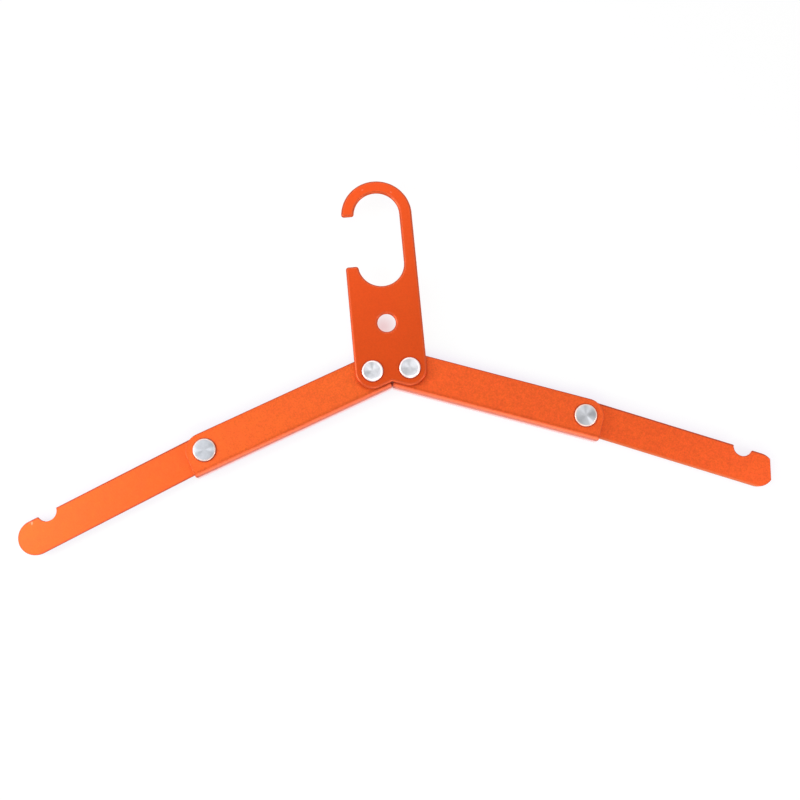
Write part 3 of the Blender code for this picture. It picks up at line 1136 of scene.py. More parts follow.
@dataclass(frozen=True)
class DyedMetal(Finish):
    """Orange dye in an anodised skin over metal with a fine grain.

    Attributes:
        colour: Colour of the dyed face.
        edge_colour: Colour where the dye is dull, along the edges.
        edge_share: How far an edge turns to its colour.
        grain_size: Size of the grain's spots.
        grain_share: How far the grain lightens and darkens the colour.
        mottle_size: Size of the uneven patches in the dye.
        mottle_share: How far the patches lighten and darken the colour.
        warm_colour: Colour that the warmer patches lean to.
        warm_share: How far they lean.
        roughness: Mean roughness.
        bump: Height of the grain.
        metallic: Metallic share of the skin.
        gloss: Specular level of the skin.
        edge_skin: Weight of the clear, smooth skin along the edges.
        skin_roughness: Roughness of that skin.
        grain_detail: Detail of the grain.
        grain_gloss: How far the grain changes the roughness.
        mottle_gloss: How far the patches change the roughness.
        mottle_seed: What the patches add to the piece's seed.
        warm_seed: What the warmer patches add to it.
        warm_scale: Size of the warmer patches, in sizes of the mottle.
        warm_rise: Where the noise of the warmer patches starts to count and where it counts in full.
        wear_rise: Where wear starts to change the colour and where it does so in full.
        skin_rise: Where wear starts to lay the skin bare and where it does so in full.
        fold: Painted shade and light of a fold, if the piece has one.
        shade: Shade under what stands close above the face, if anything does.
        edges: Painted lines of shade or highlight along straight edges.
        lines: Painted contact shadows round rivets.
        scuffs: Rubbed marks.
        rivet_shadow_colour: Colour of the painted contact shadows.
        scuff_colour: Colour of the rubbed marks.
    """

    colour: Colour
    edge_colour: Colour
    edge_share: float
    grain_size: float
    grain_share: float
    mottle_size: float
    mottle_share: float
    warm_colour: Colour
    warm_share: float
    roughness: float
    bump: float
    metallic: float = 0.5
    gloss: float = 0.2
    edge_skin: float = 0.0
    skin_roughness: float = 0.16
    grain_detail: float = 1.0
    grain_gloss: float = 0.08
    mottle_gloss: float = 0.05
    mottle_seed: float = 7.0
    warm_seed: float = 19.0
    warm_scale: float = 1.7
    warm_rise: tuple[float, float] = (-0.4, 0.6)
    wear_rise: tuple[float, float] = (0.0, 0.6)
    skin_rise: tuple[float, float] = (0.4, 0.9)
    fold: PaintedFoldLight | None = None
    shade: ContactShade | None = None
    edges: tuple[PaintedEdgeLight, ...] = ()
    lines: tuple[PaintedRivetShadow, ...] = ()
    scuffs: tuple[Scuff, ...] = ()
    rivet_shadow_colour: Colour = srgb(140, 34, 10)
    scuff_colour: Colour = srgb(255, 188, 160)

    def scuffed_before(self, depth: float) -> "DyedMetal":
        """Return the finish with its rubbed marks kept in front of a depth."""
        return replace(self, scuffs=tuple(replace(scuff, depth=depth) for scuff in self.scuffs))

    def surface(self, nodes: Nodes, seed: float) -> dict[str, Input]:
        """Return dyed metal's inputs.

        Args:
            nodes: The material's nodes.
            seed: A number that sets the piece's own variation.

        Returns:
            Input values and links by socket name.
        """
        place = nodes.place()
        grain = nodes.noise(place, self.grain_size, seed, self.grain_detail)
        mottle = nodes.noise(place, self.mottle_size, seed + self.mottle_seed)
        warmth = nodes.noise(place, self.mottle_size * self.warm_scale, seed + self.warm_seed)
        wear = nodes.attribute(WEAR)
        colour = nodes.mix(self.colour, self.warm_colour, warmth.rise(*self.warm_rise) * self.warm_share)
        # Painted light of a fold: shade above the bend, a highlight on it and a reflection on the web.
        if self.fold:
            colour = self.fold.tint(nodes, place, colour)
        colour = nodes.shaded(colour, grain * self.grain_share + mottle * self.mottle_share + 1)
        inputs = {
            "Base Color": self.worn(nodes, place, colour, wear),
            "Metallic": self.metallic,
            "Roughness": grain * self.grain_gloss + mottle * self.mottle_gloss + self.roughness,
            "Specular IOR Level": self.gloss,
            "Normal": nodes.bump(grain, self.bump),
        }
        if self.edge_skin:
            inputs["Coat Weight"] = wear.rise(*self.skin_rise) * self.edge_skin
            inputs["Coat Roughness"] = self.skin_roughness
        return inputs

    def worn(
        self, nodes: Nodes, place: bpy.types.NodeSocket, colour: Input, wear: Signal
    ) -> bpy.types.NodeSocket:
        """Return the dye's colour with its painted shade, painted contact shadows, rubbed marks, wear at
        the edges and painted edge lines.

        Args:
            nodes: The material's nodes.
            place: The place on the piece.
            colour: The dye's colour without them.
            wear: How much the surface wears.

        Returns:
            The colour with them.
        """
        # Painted shade from an Ambient Occlusion node under pieces that stand close above.
        if self.shade:
            colour = nodes.mix(colour, self.shade.colour, self.shade.mask(nodes))
        # Painted contact shadows round rivet heads.
        for line in self.lines:
            colour = nodes.mix(colour, self.rivet_shadow_colour, line.mask(nodes, place))
        for scuff in self.scuffs:
            colour = nodes.mix(colour, self.scuff_colour, scuff.mask(nodes, place))
        colour = nodes.mix(colour, self.edge_colour, wear.rise(*self.wear_rise) * self.edge_share)
        # Painted shade and highlight lines along straight edges.
        for edge in self.edges:
            colour = edge.tint(nodes, place, colour)
        return colour


@dataclass(frozen=True)
class PaintedReflectionWedge:
    """A painted highlight or painted shade wedge on a turned face, standing in for the reflections of its
    turning rings, as seen round its axis.

    Attributes:
        angle: Angle of its middle.
        spread: Angle from its middle at which it ends.
        gain: How far it lightens the face in its middle, less than zero for a dark wedge.
    """

    angle: float
    spread: float
    gain: float

    def turned(self, turn: float) -> "PaintedReflectionWedge":
        """Return the wedge turned about the axis."""
        return replace(self, angle=self.angle + turn)

    def painted_gleam(self, angle: Signal) -> Signal:
        """Return how much the painted wedge lightens or darkens the face at an angle."""
        away = angle.math("WRAP", angle - self.angle, HALF_TURN, -HALF_TURN)
        return abs(away).rise(self.spread, 0.0) * self.gain


def painted_wedges(*rows: tuple[float, float, float]) -> tuple[PaintedReflectionWedge, ...]:
    """Return painted reflection wedges from rows of an angle and a spread in degrees, and a gain."""
    return tuple(PaintedReflectionWedge(math.radians(angle), math.radians(spread), gain) for angle, spread, gain in rows)


@dataclass(frozen=True)
class TurnedMetal(Finish):
    """Bare metal turned in fine rings, with painted light and dark reflection wedges on its face.

    Attributes:
        colour: Colour of the turned face.
        rim_colour: Colour of the polished rim.
        rim_radius: Radius at which the rim starts.
        roughness: Roughness of the face.
        rim_roughness: Roughness of the rim.
        painted_wedges: The face's painted light and dark reflection wedges.
        middle_share: Share of the rim's radius within which the wedges fade out.
        ring_pitch: Distance between the turning marks.
        ring_height: Height of the turning marks.
        streak_share: How far fine streaks lighten and darken the face.
        streak_size: Size of the streaks round the axis, on a circle of radius one.
        streak_detail: Detail of the streaks.
        streak_run: How fast the streaks change outward, for each metre.
        cloud_size: Size of the soft patches.
        cloud_share: How far the patches lighten and darken the face.
        cloud_gloss: How far they change the roughness.
        cloud_seed: What they add to the piece's seed.
        blur: Half the width over which the face turns into the rim.
    """

    colour: Colour
    rim_colour: Colour
    rim_radius: float
    roughness: float
    rim_roughness: float
    painted_wedges: tuple[PaintedReflectionWedge, ...] = ()
    middle_share: float = 0.4
    ring_pitch: float = 0.00012
    ring_height: float = 0.000002
    streak_share: float = 0.10
    streak_size: float = 0.11
    streak_detail: float = 3.0
    streak_run: float = 90.0
    cloud_size: float = 0.0016
    cloud_share: float = 0.05
    cloud_gloss: float = 0.04
    cloud_seed: float = 3.0
    blur: float = 0.0003

    def turned(self, turn: float) -> "TurnedMetal":
        """Return the finish with its wedges turned about the axis."""
        return replace(self, painted_wedges=tuple(wedge.turned(turn) for wedge in self.painted_wedges))

    def surface(self, nodes: Nodes, seed: float) -> dict[str, Input]:
        """Return turned metal's inputs.

        Args:
            nodes: The material's nodes.
            seed: A number that sets the piece's own variation.

        Returns:
            Input values and links by socket name.
        """
        place = nodes.place()
        x, _, z = nodes.axes(place)
        radius = (x ** 2 + z ** 2) ** 0.5
        angle = z.math("ARCTAN2", z, x)
        # Painted reflection: light and dark wedges round the axis, faded out towards the middle.
        painted_gleam = sum(wedge.painted_gleam(angle) for wedge in self.painted_wedges)
        middle = radius.rise(0.0, self.rim_radius * self.middle_share)
        spoke = {"X": x / radius, "Y": z / radius, "Z": radius * self.streak_run}
        spokes = nodes.add("ShaderNodeCombineXYZ", sockets=spoke).outputs[0]
        streaks = nodes.noise(spokes, self.streak_size, seed, self.streak_detail)
        cloud = nodes.noise(place, self.cloud_size, seed + self.cloud_seed)
        shade = painted_gleam * middle + streaks * middle * self.streak_share + cloud * self.cloud_share + 1
        rim = radius.rise(self.rim_radius - self.blur, self.rim_radius + self.blur)
        roughness = rim * (self.rim_roughness - self.roughness) + self.roughness
        turning = radius * (FULL_TURN / self.ring_pitch)
        rings = turning.math("SINE", turning)
        return {
            "Base Color": nodes.mix(nodes.shaded(self.colour, shade), self.rim_colour, rim),
            "Metallic": 1.0,
            "Roughness": roughness + cloud * self.cloud_gloss,
            "Normal": nodes.bump(rings * (1 - rim), self.ring_height),
        }


@dataclass(frozen=True)
class Nylon(Finish):
    """Natural nylon, slightly uneven and soft in its gloss.

    Attributes:
        colour: Its colour.
        roughness: Mean roughness.
        grain_size: Size of the uneven patches.
        grain_share: How far they lighten and darken the colour.
        grain_gloss: How far they change the roughness.
        bump: Height of the patches.
        glow: Share of the light that passes under the surface.
        glow_reach: How far that light goes.
    """

    colour: Colour = srgb(232, 230, 222)
    roughness: float = 0.48
    grain_size: float = 0.0008
    grain_share: float = 0.03
    grain_gloss: float = 0.06
    bump: float = 0.00001
    glow: float = 0.1
    glow_reach: float = 0.001

    def surface(self, nodes: Nodes, seed: float) -> dict[str, Input]:
        """Return nylon's inputs.

        Args:
            nodes: The material's nodes.
            seed: A number that sets the piece's own variation.

        Returns:
            Input values and links by socket name.
        """
        place = nodes.place()
        grain = nodes.noise(place, self.grain_size, seed)
        return {
            "Base Color": nodes.shaded(self.colour, grain * self.grain_share + 1),
            "Roughness": grain * self.grain_gloss + self.roughness,
            "Subsurface Weight": self.glow,
            "Subsurface Radius": (self.glow_reach, self.glow_reach, self.glow_reach),
            "Normal": nodes.bump(grain, self.bump),
        }


class Slot(Enum):
    """The record's material slots."""

    PLATE = "anodised_plate"
    SHEET = "anodised_sheet"
    RIVET = "rivet_metal"
    NYLON = "nylon"


def seat(
    node: str,
    mesh: bpy.types.Mesh,
    material: bpy.types.Material,
    body: str,
    place: Matrix,
) -> None:
    """Put a finished piece in the place of its node.

    Args:
        node: The node that the piece stands for.
        mesh: Its mesh.
        material: Its material.
        body: The body that it moves with.
        place: Where its own frame lies.
    """
    piece = bpy.data.objects.new(f"{node}_finished", mesh)
    bpy.context.scene.collection.objects.link(piece)
    mesh.materials.append(material)
    piece.matrix_world = place
    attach(piece, body)
    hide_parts(node)
    log.info("%s: %d faces, moves with %s", piece.name, len(mesh.polygons), body)


def turned_radius(node: str) -> float:
    """Return the radius of a node that is turned about an axis along Y."""
    low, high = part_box(node)
    return (high.z - low.z) / 2


PLATE_FINISH = DyedMetal(
    colour=srgb(209, 72, 18),
    edge_colour=srgb(206, 88, 48),
    edge_share=0.5,
    grain_size=0.0010,
    grain_share=0.10,
    mottle_size=0.007,
    mottle_share=0.03,
    warm_colour=srgb(208, 76, 17),
    warm_share=0.4,
    roughness=0.38,
    bump=0.000004,
    edge_skin=0.15,
    scuffs=(
        Scuff(-0.0066, 0.0022, 0.0008, 0.0005, math.radians(20), 0.14),
        Scuff(0.0092, -0.0004, 0.0008, 0.0005, math.radians(-35), 0.14),
    ),
)


@dataclass
class HookPlate:
    """The flat plate with the hook, the rod slot, the hang hole and the two lobes at its foot.

    Attributes:
        left: The left side's linkage.
        right: The right side's linkage.
        finish: The plate's finish.
        slot_floor_drop: Distance from the arch's centre down to the centre of the slot's floor.
        tip_rise: How far the hook's tip stands above the arch's centre.
        lip_drop: How far the mouth's lower lip lies below the floor's centre.
        corner_radius: Radius of the hook's small corners.
        hole_radius: Radius of the hang hole.
        hole_height: Height of the hang hole's centre above the inner pivots.
        edge_radius: Radius of the plate's rounded edges.
        edge_margin: Width of face beside an edge that wears with it.
        mark_depth: How far a rubbed mark reaches back from the front.
        arc_steps: Steps of a large arc.
        corner_steps: Steps of a small corner.
        seed: Seed of the plate's own variation.
    """

    left: Linkage
    right: Linkage
    finish: DyedMetal = PLATE_FINISH
    slot_floor_drop: float = 0.0279
    tip_rise: float = 0.0002
    lip_drop: float = 0.0006
    corner_radius: float = 0.0015
    hole_radius: float = 0.0050
    hole_height: float = 0.0262
    edge_radius: float = 0.0012
    edge_margin: float = 0.0001
    mark_depth: float = 0.00125
    arc_steps: int = 96
    corner_steps: int = 10
    seed: float = 1.0

    def outline(self) -> Loop:
        """Return the plate's outline.

        Returns:
            Its points in X and Z, anticlockwise from the notch between the lobes.
        """
        low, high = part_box("hook_plate")
        half_width = (high.x - low.x) / 2
        arch = (0.0, high.z - half_width)
        floor = (0.0, arch[1] - self.slot_floor_drop)
        slot_radius = -arch[1]
        pivot_x, pivot_z = self.right.inner.x, self.right.inner.z
        lobe_radius = half_width - pivot_x
        droop = self.right.arm_droop
        notch_z = pivot_z + (pivot_x * math.sin(droop) - lobe_radius) / math.cos(droop)
        steps = self.arc_steps
        tip_z = arch[1] + self.tip_rise
        lip_z = floor[1] - self.lip_drop
        outer_tip = self.corner(arch, half_width, tip_z, 1)
        inner_tip = self.corner(arch, -slot_radius, tip_z, 1)
        inner_lip = self.corner(floor, -slot_radius, lip_z, -1)
        points = [(0.0, notch_z)]
        points += arc((pivot_x, pivot_z), lobe_radius, -QUARTER_TURN - droop, 0, steps // 2)
        points += arc(arch, half_width, 0, outer_tip.arc_angle, steps)
        points += outer_tip.points()[1:] + inner_tip.points()[::-1]
        points += arc(arch, slot_radius, inner_tip.arc_angle, 0, steps)[1:]
        points += arc(floor, slot_radius, 0, inner_lip.arc_angle, steps) + inner_lip.points()[1:]
        lobe_end = HALF_TURN + QUARTER_TURN + droop
        lobe = arc((-pivot_x, pivot_z), lobe_radius, HALF_TURN, lobe_end, steps // 2)
        outside = (-half_width, lip_z)
        return points + fillet(points[-1], outside, lobe[0], self.corner_radius, self.corner_steps) + lobe

    def corner(self, centre: Point, radius: float, level: float, sense: int) -> LevelCorner:
        """Return one of the hook's small rounded corners."""
        return LevelCorner(centre, radius, level, sense * self.corner_radius, -1, self.corner_steps)

    def build(self) -> None:
        """Build the plate and put it in its node's place."""
        layer = Layer.of("hook_plate")
        hang_hole = (0.0, self.right.inner.z + self.hole_height)
        holes = [circle(hang_hole, self.hole_radius, self.arc_steps)]
        # Painted contact shadows round the inner rivets' heads.
        lines = []
        for linkage in (self.left, self.right):
            pivot = (linkage.inner.x, linkage.inner.z)
            holes.append(circle(pivot, PIVOT_HOLE_RADIUS, self.arc_steps // 2))
            lines.append(PaintedRivetShadow(*pivot, turned_radius(linkage.side.node("inner_rivet"))))
        pattern = SheetPattern(
            self.outline(),
            holes,
            layer.thickness,
            self.edge_radius,
            self.edge_margin,
            FlatLeaf(layer.front),
        )
        mesh = pattern.mesh("hook_plate", Side.RIGHT)
        finish = replace(self.finish.scuffed_before(layer.front + self.mark_depth), lines=tuple(lines))
        material = finish.material("dyed_hook_plate", self.seed)
        seat("hook_plate", mesh, material, "root", Matrix())


BAR_FINISH = DyedMetal(
    colour=srgb(225, 91, 37),
    edge_colour=srgb(150, 58, 34),
    edge_share=0.55,
    grain_size=0.0009,
    grain_share=0.26,
    mottle_size=0.0034,
    mottle_share=0.10,
    warm_colour=srgb(227, 97, 33),
    warm_share=0.5,
    roughness=0.44,
    bump=0.00002,
)
# Painted shade along the bars' upper edges. Along the lower edges, a darker painted line on the left bar
# and a painted highlight on the right bar.
BAR_TOP_SHADE = PaintedEdgeLight(BAR_HALF_WIDTH, 0.00115, 0.00035, srgb(172, 68, 40))
BAR_FINISHES = {
    Side.LEFT: replace(
        BAR_FINISH,
        edges=(BAR_TOP_SHADE, PaintedEdgeLight(-BAR_HALF_WIDTH, 0.00105, 0.00025, srgb(196, 78, 42))),
        scuffs=(
            Scuff(-0.0986, 0.0078, 0.0013, 0.0006, math.radians(65), 0.35),
            Scuff(-0.0994, 0.0088, 0.0010, 0.0006, math.radians(20), 0.25),
        ),
    ),
    Side.RIGHT: replace(
        BAR_FINISH,
        colour=srgb(230, 88, 36),
        warm_colour=srgb(232, 94, 33),
        edges=(BAR_TOP_SHADE, PaintedEdgeLight(-BAR_HALF_WIDTH, 0.00135, 0.00045, srgb(224, 112, 68))),
    ),
}
# The arms' finish paints shade along the flanges' top edges, paints shade, a highlight and a reflection
# at the fold, and paints shade under close pieces.
ARM_FINISH = replace(
    BAR_FINISH,
    edge_colour=srgb(200, 84, 50),
    edge_share=0.6,
    edges=(PaintedEdgeLight(FLANGE_HEIGHT, 0.0007, 0.0001, srgb(176, 66, 38)),),
    fold=PaintedFoldLight(
        crease_start=0.0036,
        bend_start=0.0020,
        bend_full=0.0012,
        crease_shade=0.17,
        bend_highlight_colour=srgb(245, 112, 69),
        web_reflection_colour=srgb(250, 131, 100),
    ),
    shade=ContactShade(),
)
ARM_FINISHES = {
    Side.LEFT: replace(ARM_FINISH, colour=srgb(227, 94, 38), warm_colour=srgb(229, 100, 34)),
    Side.RIGHT: replace(ARM_FINISH, colour=srgb(232, 91, 38), warm_colour=srgb(234, 97, 34)),
}


@dataclass
class ArmChannel:
    """A channel arm folded from sheet, open at its top, with its upper corners rounded.

    Attributes:
        linkage: The side's linkage.
        finish: The channel's finish.
        flange_height: Height of the flanges' top edges above the pivots.
        overhang: How far the channel passes its outer pivot.
        stop_gap: Gap left where one piece rests on another.
        bend_radius: Outer radius of the bends.
        arc_steps: Steps of a large arc.
        bend_steps: Steps of a bend.
        seed: Seed of the channels' own variation.
    """

    linkage: Linkage
    finish: DyedMetal
    flange_height: float = FLANGE_HEIGHT
    overhang: float = 0.01015
    stop_gap: float = 0.0002
    bend_radius: float = 0.0020
    arc_steps: int = 40
    bend_steps: int = 12
    seed: float = 3.0

    @property
    def web_depth(self) -> float:
        """Depth of the web's outer face below the pivots, set by the bar that rests on its end."""
        droop = self.linkage.bar_droop
        rest = BAR_HALF_WIDTH + self.stop_gap + self.overhang * math.sin(droop)
        return rest / math.cos(droop) + SHEET_THICKNESS

    @property
    def inner_overhang(self) -> float:
        """How far the channel passes its inner pivot, until the two webs butt."""
        droop = self.linkage.arm_droop
        room = abs(self.linkage.inner.x) - self.stop_gap / 2 - self.web_depth * math.sin(droop)
        return room / math.cos(droop)

    def fold(self) -> ChannelFold:
        """Return how the channel is folded."""
        layer = Layer.of(self.linkage.side.node("arm_channel"))
        return ChannelFold(layer, self.flange_height, self.web_depth, self.bend_radius)

    def outline(self, fold: ChannelFold) -> Loop:
        """Return the flat pattern's outline.

        Args:
            fold: How the channel is folded.

        Returns:
            Its points, along the arm and along the run.
        """
        inner, outer = -self.inner_overhang, self.linkage.reach + self.overhang
        reach_angle = math.asin(self.inner_overhang / self.flange_height)
        height = self.flange_height
        inner_corner = arc((0.0, 0.0), height, QUARTER_TURN + reach_angle, QUARTER_TURN, self.arc_steps)
        outer_corner = arc((outer - height, 0.0), height, QUARTER_TURN, 0, self.arc_steps)
        front_top = [(x, height - z) for x, z in inner_corner + outer_corner]
        rear_top = [(x, fold.full_run - run) for x, run in reversed(front_top)]
        lines = fold.fold_lines(self.bend_steps)
        outer_end = [(outer, run) for run in lines]
        inner_end = [(inner, run) for run in reversed(lines)]
        return front_top + outer_end + rear_top + inner_end

    def build(self) -> None:
        """Build the channel and put it in its node's place."""
        side, reach = self.linkage.side, self.linkage.reach
        fold = self.fold()
        front_run, rear_run = self.flange_height, fold.full_run - self.flange_height
        centres = ((0.0, front_run), (reach, front_run), (reach, rear_run))
        pattern = SheetPattern(
            self.outline(fold),
            [circle(centre, PIVOT_HOLE_RADIUS, self.arc_steps) for centre in centres],
            SHEET_THICKNESS,
            SHEET_EDGE_RADIUS,
            SHEET_EDGE_MARGIN,
            fold,
            tuple(fold.fold_lines(self.bend_steps)),
        )
        # The web's height places the painted fold light; a painted contact shadow goes round the outer
        # rivet's head.
        finish = replace(
            self.finish,
            fold=replace(self.finish.fold, web=-self.web_depth),
            lines=(PaintedRivetShadow(side.value * reach, 0.0, turned_radius(side.node("outer_rivet"))),),
        )
        node = side.node("arm_channel")
        material = finish.material(f"dyed_{node}", self.seed + side.value)
        seat(node, pattern.mesh(node, side), material, side.arm_body, self.linkage.arm_place)


@dataclass
class OuterBar:
    """A flat outer bar, round at its pivot and its tip, with the strap notch in its upper edge.

    Attributes:
        linkage: The side's linkage.
        finish: The bar's finish.
        length: Distance from the pivot to the centre of the round tip.
        half_width: Half the bar's width, which is the radius of both its ends.
        notch_setback: Distance from the tip's centre back to the strap notch's.
        notch_rise: How far the notch's centre stands above the bar's upper edge.
        notch_radius: Radius of the notch.
        notch_corner_radius: Radius of its corners.
        flat_depth: How deep the flat on the right bar's tip is ground.
        flat_angle: Angle above the bar at which that flat faces.
        mark_depth: How far a rubbed mark reaches back from the front.
        arc_steps: Steps of a large arc.
        corner_steps: Steps of a small corner.
        seed: Seed of the bars' own variation.
    """

    linkage: Linkage
    finish: DyedMetal
    length: float = 0.1000
    half_width: float = BAR_HALF_WIDTH
    notch_setback: float = 0.0107
    notch_rise: float = 0.00075
    notch_radius: float = 0.0054
    notch_corner_radius: float = 0.0004
    flat_depth: float = 0.00195
    flat_angle: float = math.radians(16.7)
    mark_depth: float = 0.00075
    arc_steps: int = 64
    corner_steps: int = 4
    seed: float = 11.0

    def outline(self) -> Loop:
        """Return the bar's outline.

        Returns:
            Its points, along the bar and across it.
        """
        width, steps = self.half_width, self.arc_steps
        corner_radius = -self.notch_corner_radius
        centre = (self.length - self.notch_setback, width + self.notch_rise)
        near, far = (
            LevelCorner(centre, -self.notch_radius, width, corner_radius, side, self.corner_steps)
            for side in (-1, 1)
        )
        start, end = near.arc_angle % FULL_TURN, far.arc_angle % FULL_TURN
        tip = (self.length, 0.0)
        points = arc((0.0, 0.0), width, HALF_TURN + QUARTER_TURN, QUARTER_TURN, steps)
        points += near.points()[::-1]
        points += arc(centre, self.notch_radius, start, end, steps)[1:-1]
        points += far.points()
        if self.linkage.side is Side.LEFT:
            return points + arc(tip, width, QUARTER_TURN, -QUARTER_TURN, steps)
        half_angle = math.acos((width - self.flat_depth) / width)
        points += arc(tip, width, QUARTER_TURN, self.flat_angle + half_angle, steps // 2)
        return points + arc(tip, width, self.flat_angle - half_angle, -QUARTER_TURN, steps // 2)

    def build(self) -> None:
        """Build the bar and put it in its node's place."""
        side = self.linkage.side
        node = side.node("outer_bar")
        layer = Layer.of(node)
        pattern = SheetPattern(
            self.outline(),
            [circle((0.0, 0.0), PIVOT_HOLE_RADIUS, self.arc_steps // 2)],
            layer.thickness,
            SHEET_EDGE_RADIUS,
            SHEET_EDGE_MARGIN,
            FlatLeaf(layer.front),
        )
        finish = self.finish.scuffed_before(layer.front + self.mark_depth)
        material = finish.material(f"dyed_{node}", self.seed + side.value)
        seat(node, pattern.mesh(node, side), material, side.bar_body, self.linkage.bar_place)


DISHED_FACE = TurnedMetal(
    colour=srgb(203, 204, 209),
    rim_colour=srgb(232, 219, 219),
    rim_radius=0.0048,
    roughness=0.34,
    rim_roughness=0.38,
    streak_share=0.05,
    cloud_size=0.0020,
    cloud_share=0.22,
)
# Each head's wedges are painted reflections.
DISHED_FACES = {
    Side.LEFT: replace(
        DISHED_FACE,
        painted_wedges=painted_wedges(
            (60, 50, 0.22),
            (90, 28, -0.26),
            (135, 46, 0.24),
            (198, 44, -0.26),
            (250, 40, -0.06),
        ),
    ),
    Side.RIGHT: replace(
        DISHED_FACE,
        painted_wedges=painted_wedges(
            (45, 70, 0.24),
            (92, 24, -0.14),
            (140, 40, 0.20),
            (215, 70, -0.20),
            (300, 50, -0.08),
        ),
    ),
}
SUNBURST_FACE = TurnedMetal(
    colour=srgb(194, 196, 201),
    rim_colour=srgb(228, 206, 196),
    rim_radius=0.0055,
    roughness=0.30,
    rim_roughness=0.45,
    cloud_share=0.12,
)
SUNBURST_FACES = {
    # The left head's colour and rim are a darker copy of the same metal: painted shade.
    Side.LEFT: replace(
        SUNBURST_FACE,
        colour=srgb(172, 175, 181),
        rim_colour=srgb(212, 190, 182),
        painted_wedges=painted_wedges(
            (0, 26, 0.22),
            (32, 26, -0.12),
            (178, 24, 0.16),
            (208, 26, -0.20),
            (325, 26, -0.08),
        ),
    ),
    Side.RIGHT: replace(
        SUNBURST_FACE,
        painted_wedges=painted_wedges(
            (5, 48, -0.34),
            (60, 26, 0.18),
            (90, 16, -0.10),
            (122, 34, 0.20),
            (212, 60, -0.26),
            (302, 26, 0.48),
        ),
    ),
}


def ring_shape(node: str, bevel: float) -> TurnedShape:
    """Return a ring as large and as thick as a node, with its outer edges broken.

    Args:
        node: The node that gives the ring's size.
        bevel: The width of its broken edges.

    Returns:
        The ring, whose bore passes a rivet's shank.
    """
    layer, radius, bore = Layer.of(node), turned_radius(node), PIVOT_HOLE_RADIUS
    profile = [(bore, layer.front), (radius - bevel, layer.front), (radius, layer.front + bevel)]
    profile += [(radius, layer.rear - bevel), (radius - bevel, layer.rear), (bore, layer.rear)]
    return TurnedShape(profile)


def seat_rings(side: Side, rings: tuple[str, ...], body: str, place: Matrix) -> None:
    """Build nylon rings and put them in their nodes' places.

    Args:
        side: The rings' side.
        rings: Their names.
        body: The body that they move with.
        place: Where their own frame lies.
    """
    for ring in rings:
        node = side.node(ring)
        mesh = ring_shape(node, WASHER_BEVEL).mesh(node)
        seat(node, mesh, Nylon().material(f"nylon_{node}"), body, place)


@dataclass
class InnerRivet:
    """The rivet of an inner pivot: a dished head, a shank, its cap ring and the two washers.

    Attributes:
        linkage: The side's linkage.
        finish: The finish of the head.
        cap_finish: The finish of the cap ring.
        head_thickness: Thickness of the head.
        rim_width: Width of the rim round the dish.
        dish_depth: Depth of the dish.
        head_bevel: Radius of the round on the head's front.
        dish_fillet: Half the width of the soft step at the dish's edge.
        step_share: Share of the dish's depth at the middle of that step.
        small_bevel: Width of the small broken edges.
        bevel_steps: Steps of a round.
        cap_seed: Seed of the cap's own variation.
    """

    linkage: Linkage
    finish: TurnedMetal
    cap_finish: TurnedMetal = DISHED_FACE
    head_thickness: float = 0.0011
    rim_width: float = 0.0011
    dish_depth: float = 0.0002
    head_bevel: float = 0.0007
    dish_fillet: float = 0.00035
    step_share: float = 0.75
    small_bevel: float = 0.0002
    bevel_steps: int = 6
    cap_seed: float = 5.0

    def head_profile(self) -> Loop:
        """Return the rivet's profile.

        Returns:
            Its radii and depths, from the middle of its dish round to its shank's end.
        """
        node = self.linkage.side.node("inner_rivet")
        layer, radius, bevel = Layer.of(node), turned_radius(node), self.head_bevel
        front, rear = layer.front, layer.front + self.head_thickness
        dish, dish_radius = front + self.dish_depth, radius - self.rim_width
        step = front + self.dish_depth * self.step_share
        profile = [(0.0, dish), (dish_radius / 2, dish), (dish_radius - self.dish_fillet, dish)]
        profile += [(dish_radius, step), (dish_radius + self.dish_fillet, front)]
        profile += arc((radius - bevel, front + bevel), bevel, -QUARTER_TURN, 0, self.bevel_steps)
        profile += [(radius, rear - self.small_bevel), (radius - self.small_bevel, rear)]
        return profile + [(SHANK_RADIUS, rear), (SHANK_RADIUS, layer.rear), (0.0, layer.rear)]

    def build(self) -> None:
        """Build the rivet, its cap and its washers, and put them in their nodes' places."""
        side, place = self.linkage.side, self.linkage.inner_place
        rivet, cap = side.node("inner_rivet"), side.node("inner_rivet_cap")
        material = self.finish.material(f"turned_{rivet}", side.value)
        seat(rivet, TurnedShape(self.head_profile()).mesh(rivet), material, "root", place)
        material = self.cap_finish.material(f"turned_{cap}", self.cap_seed)
        seat(cap, ring_shape(cap, self.small_bevel).mesh(cap), material, "root", place)
        seat_rings(side, ("plate_washer", "inside_washer"), "root", place)


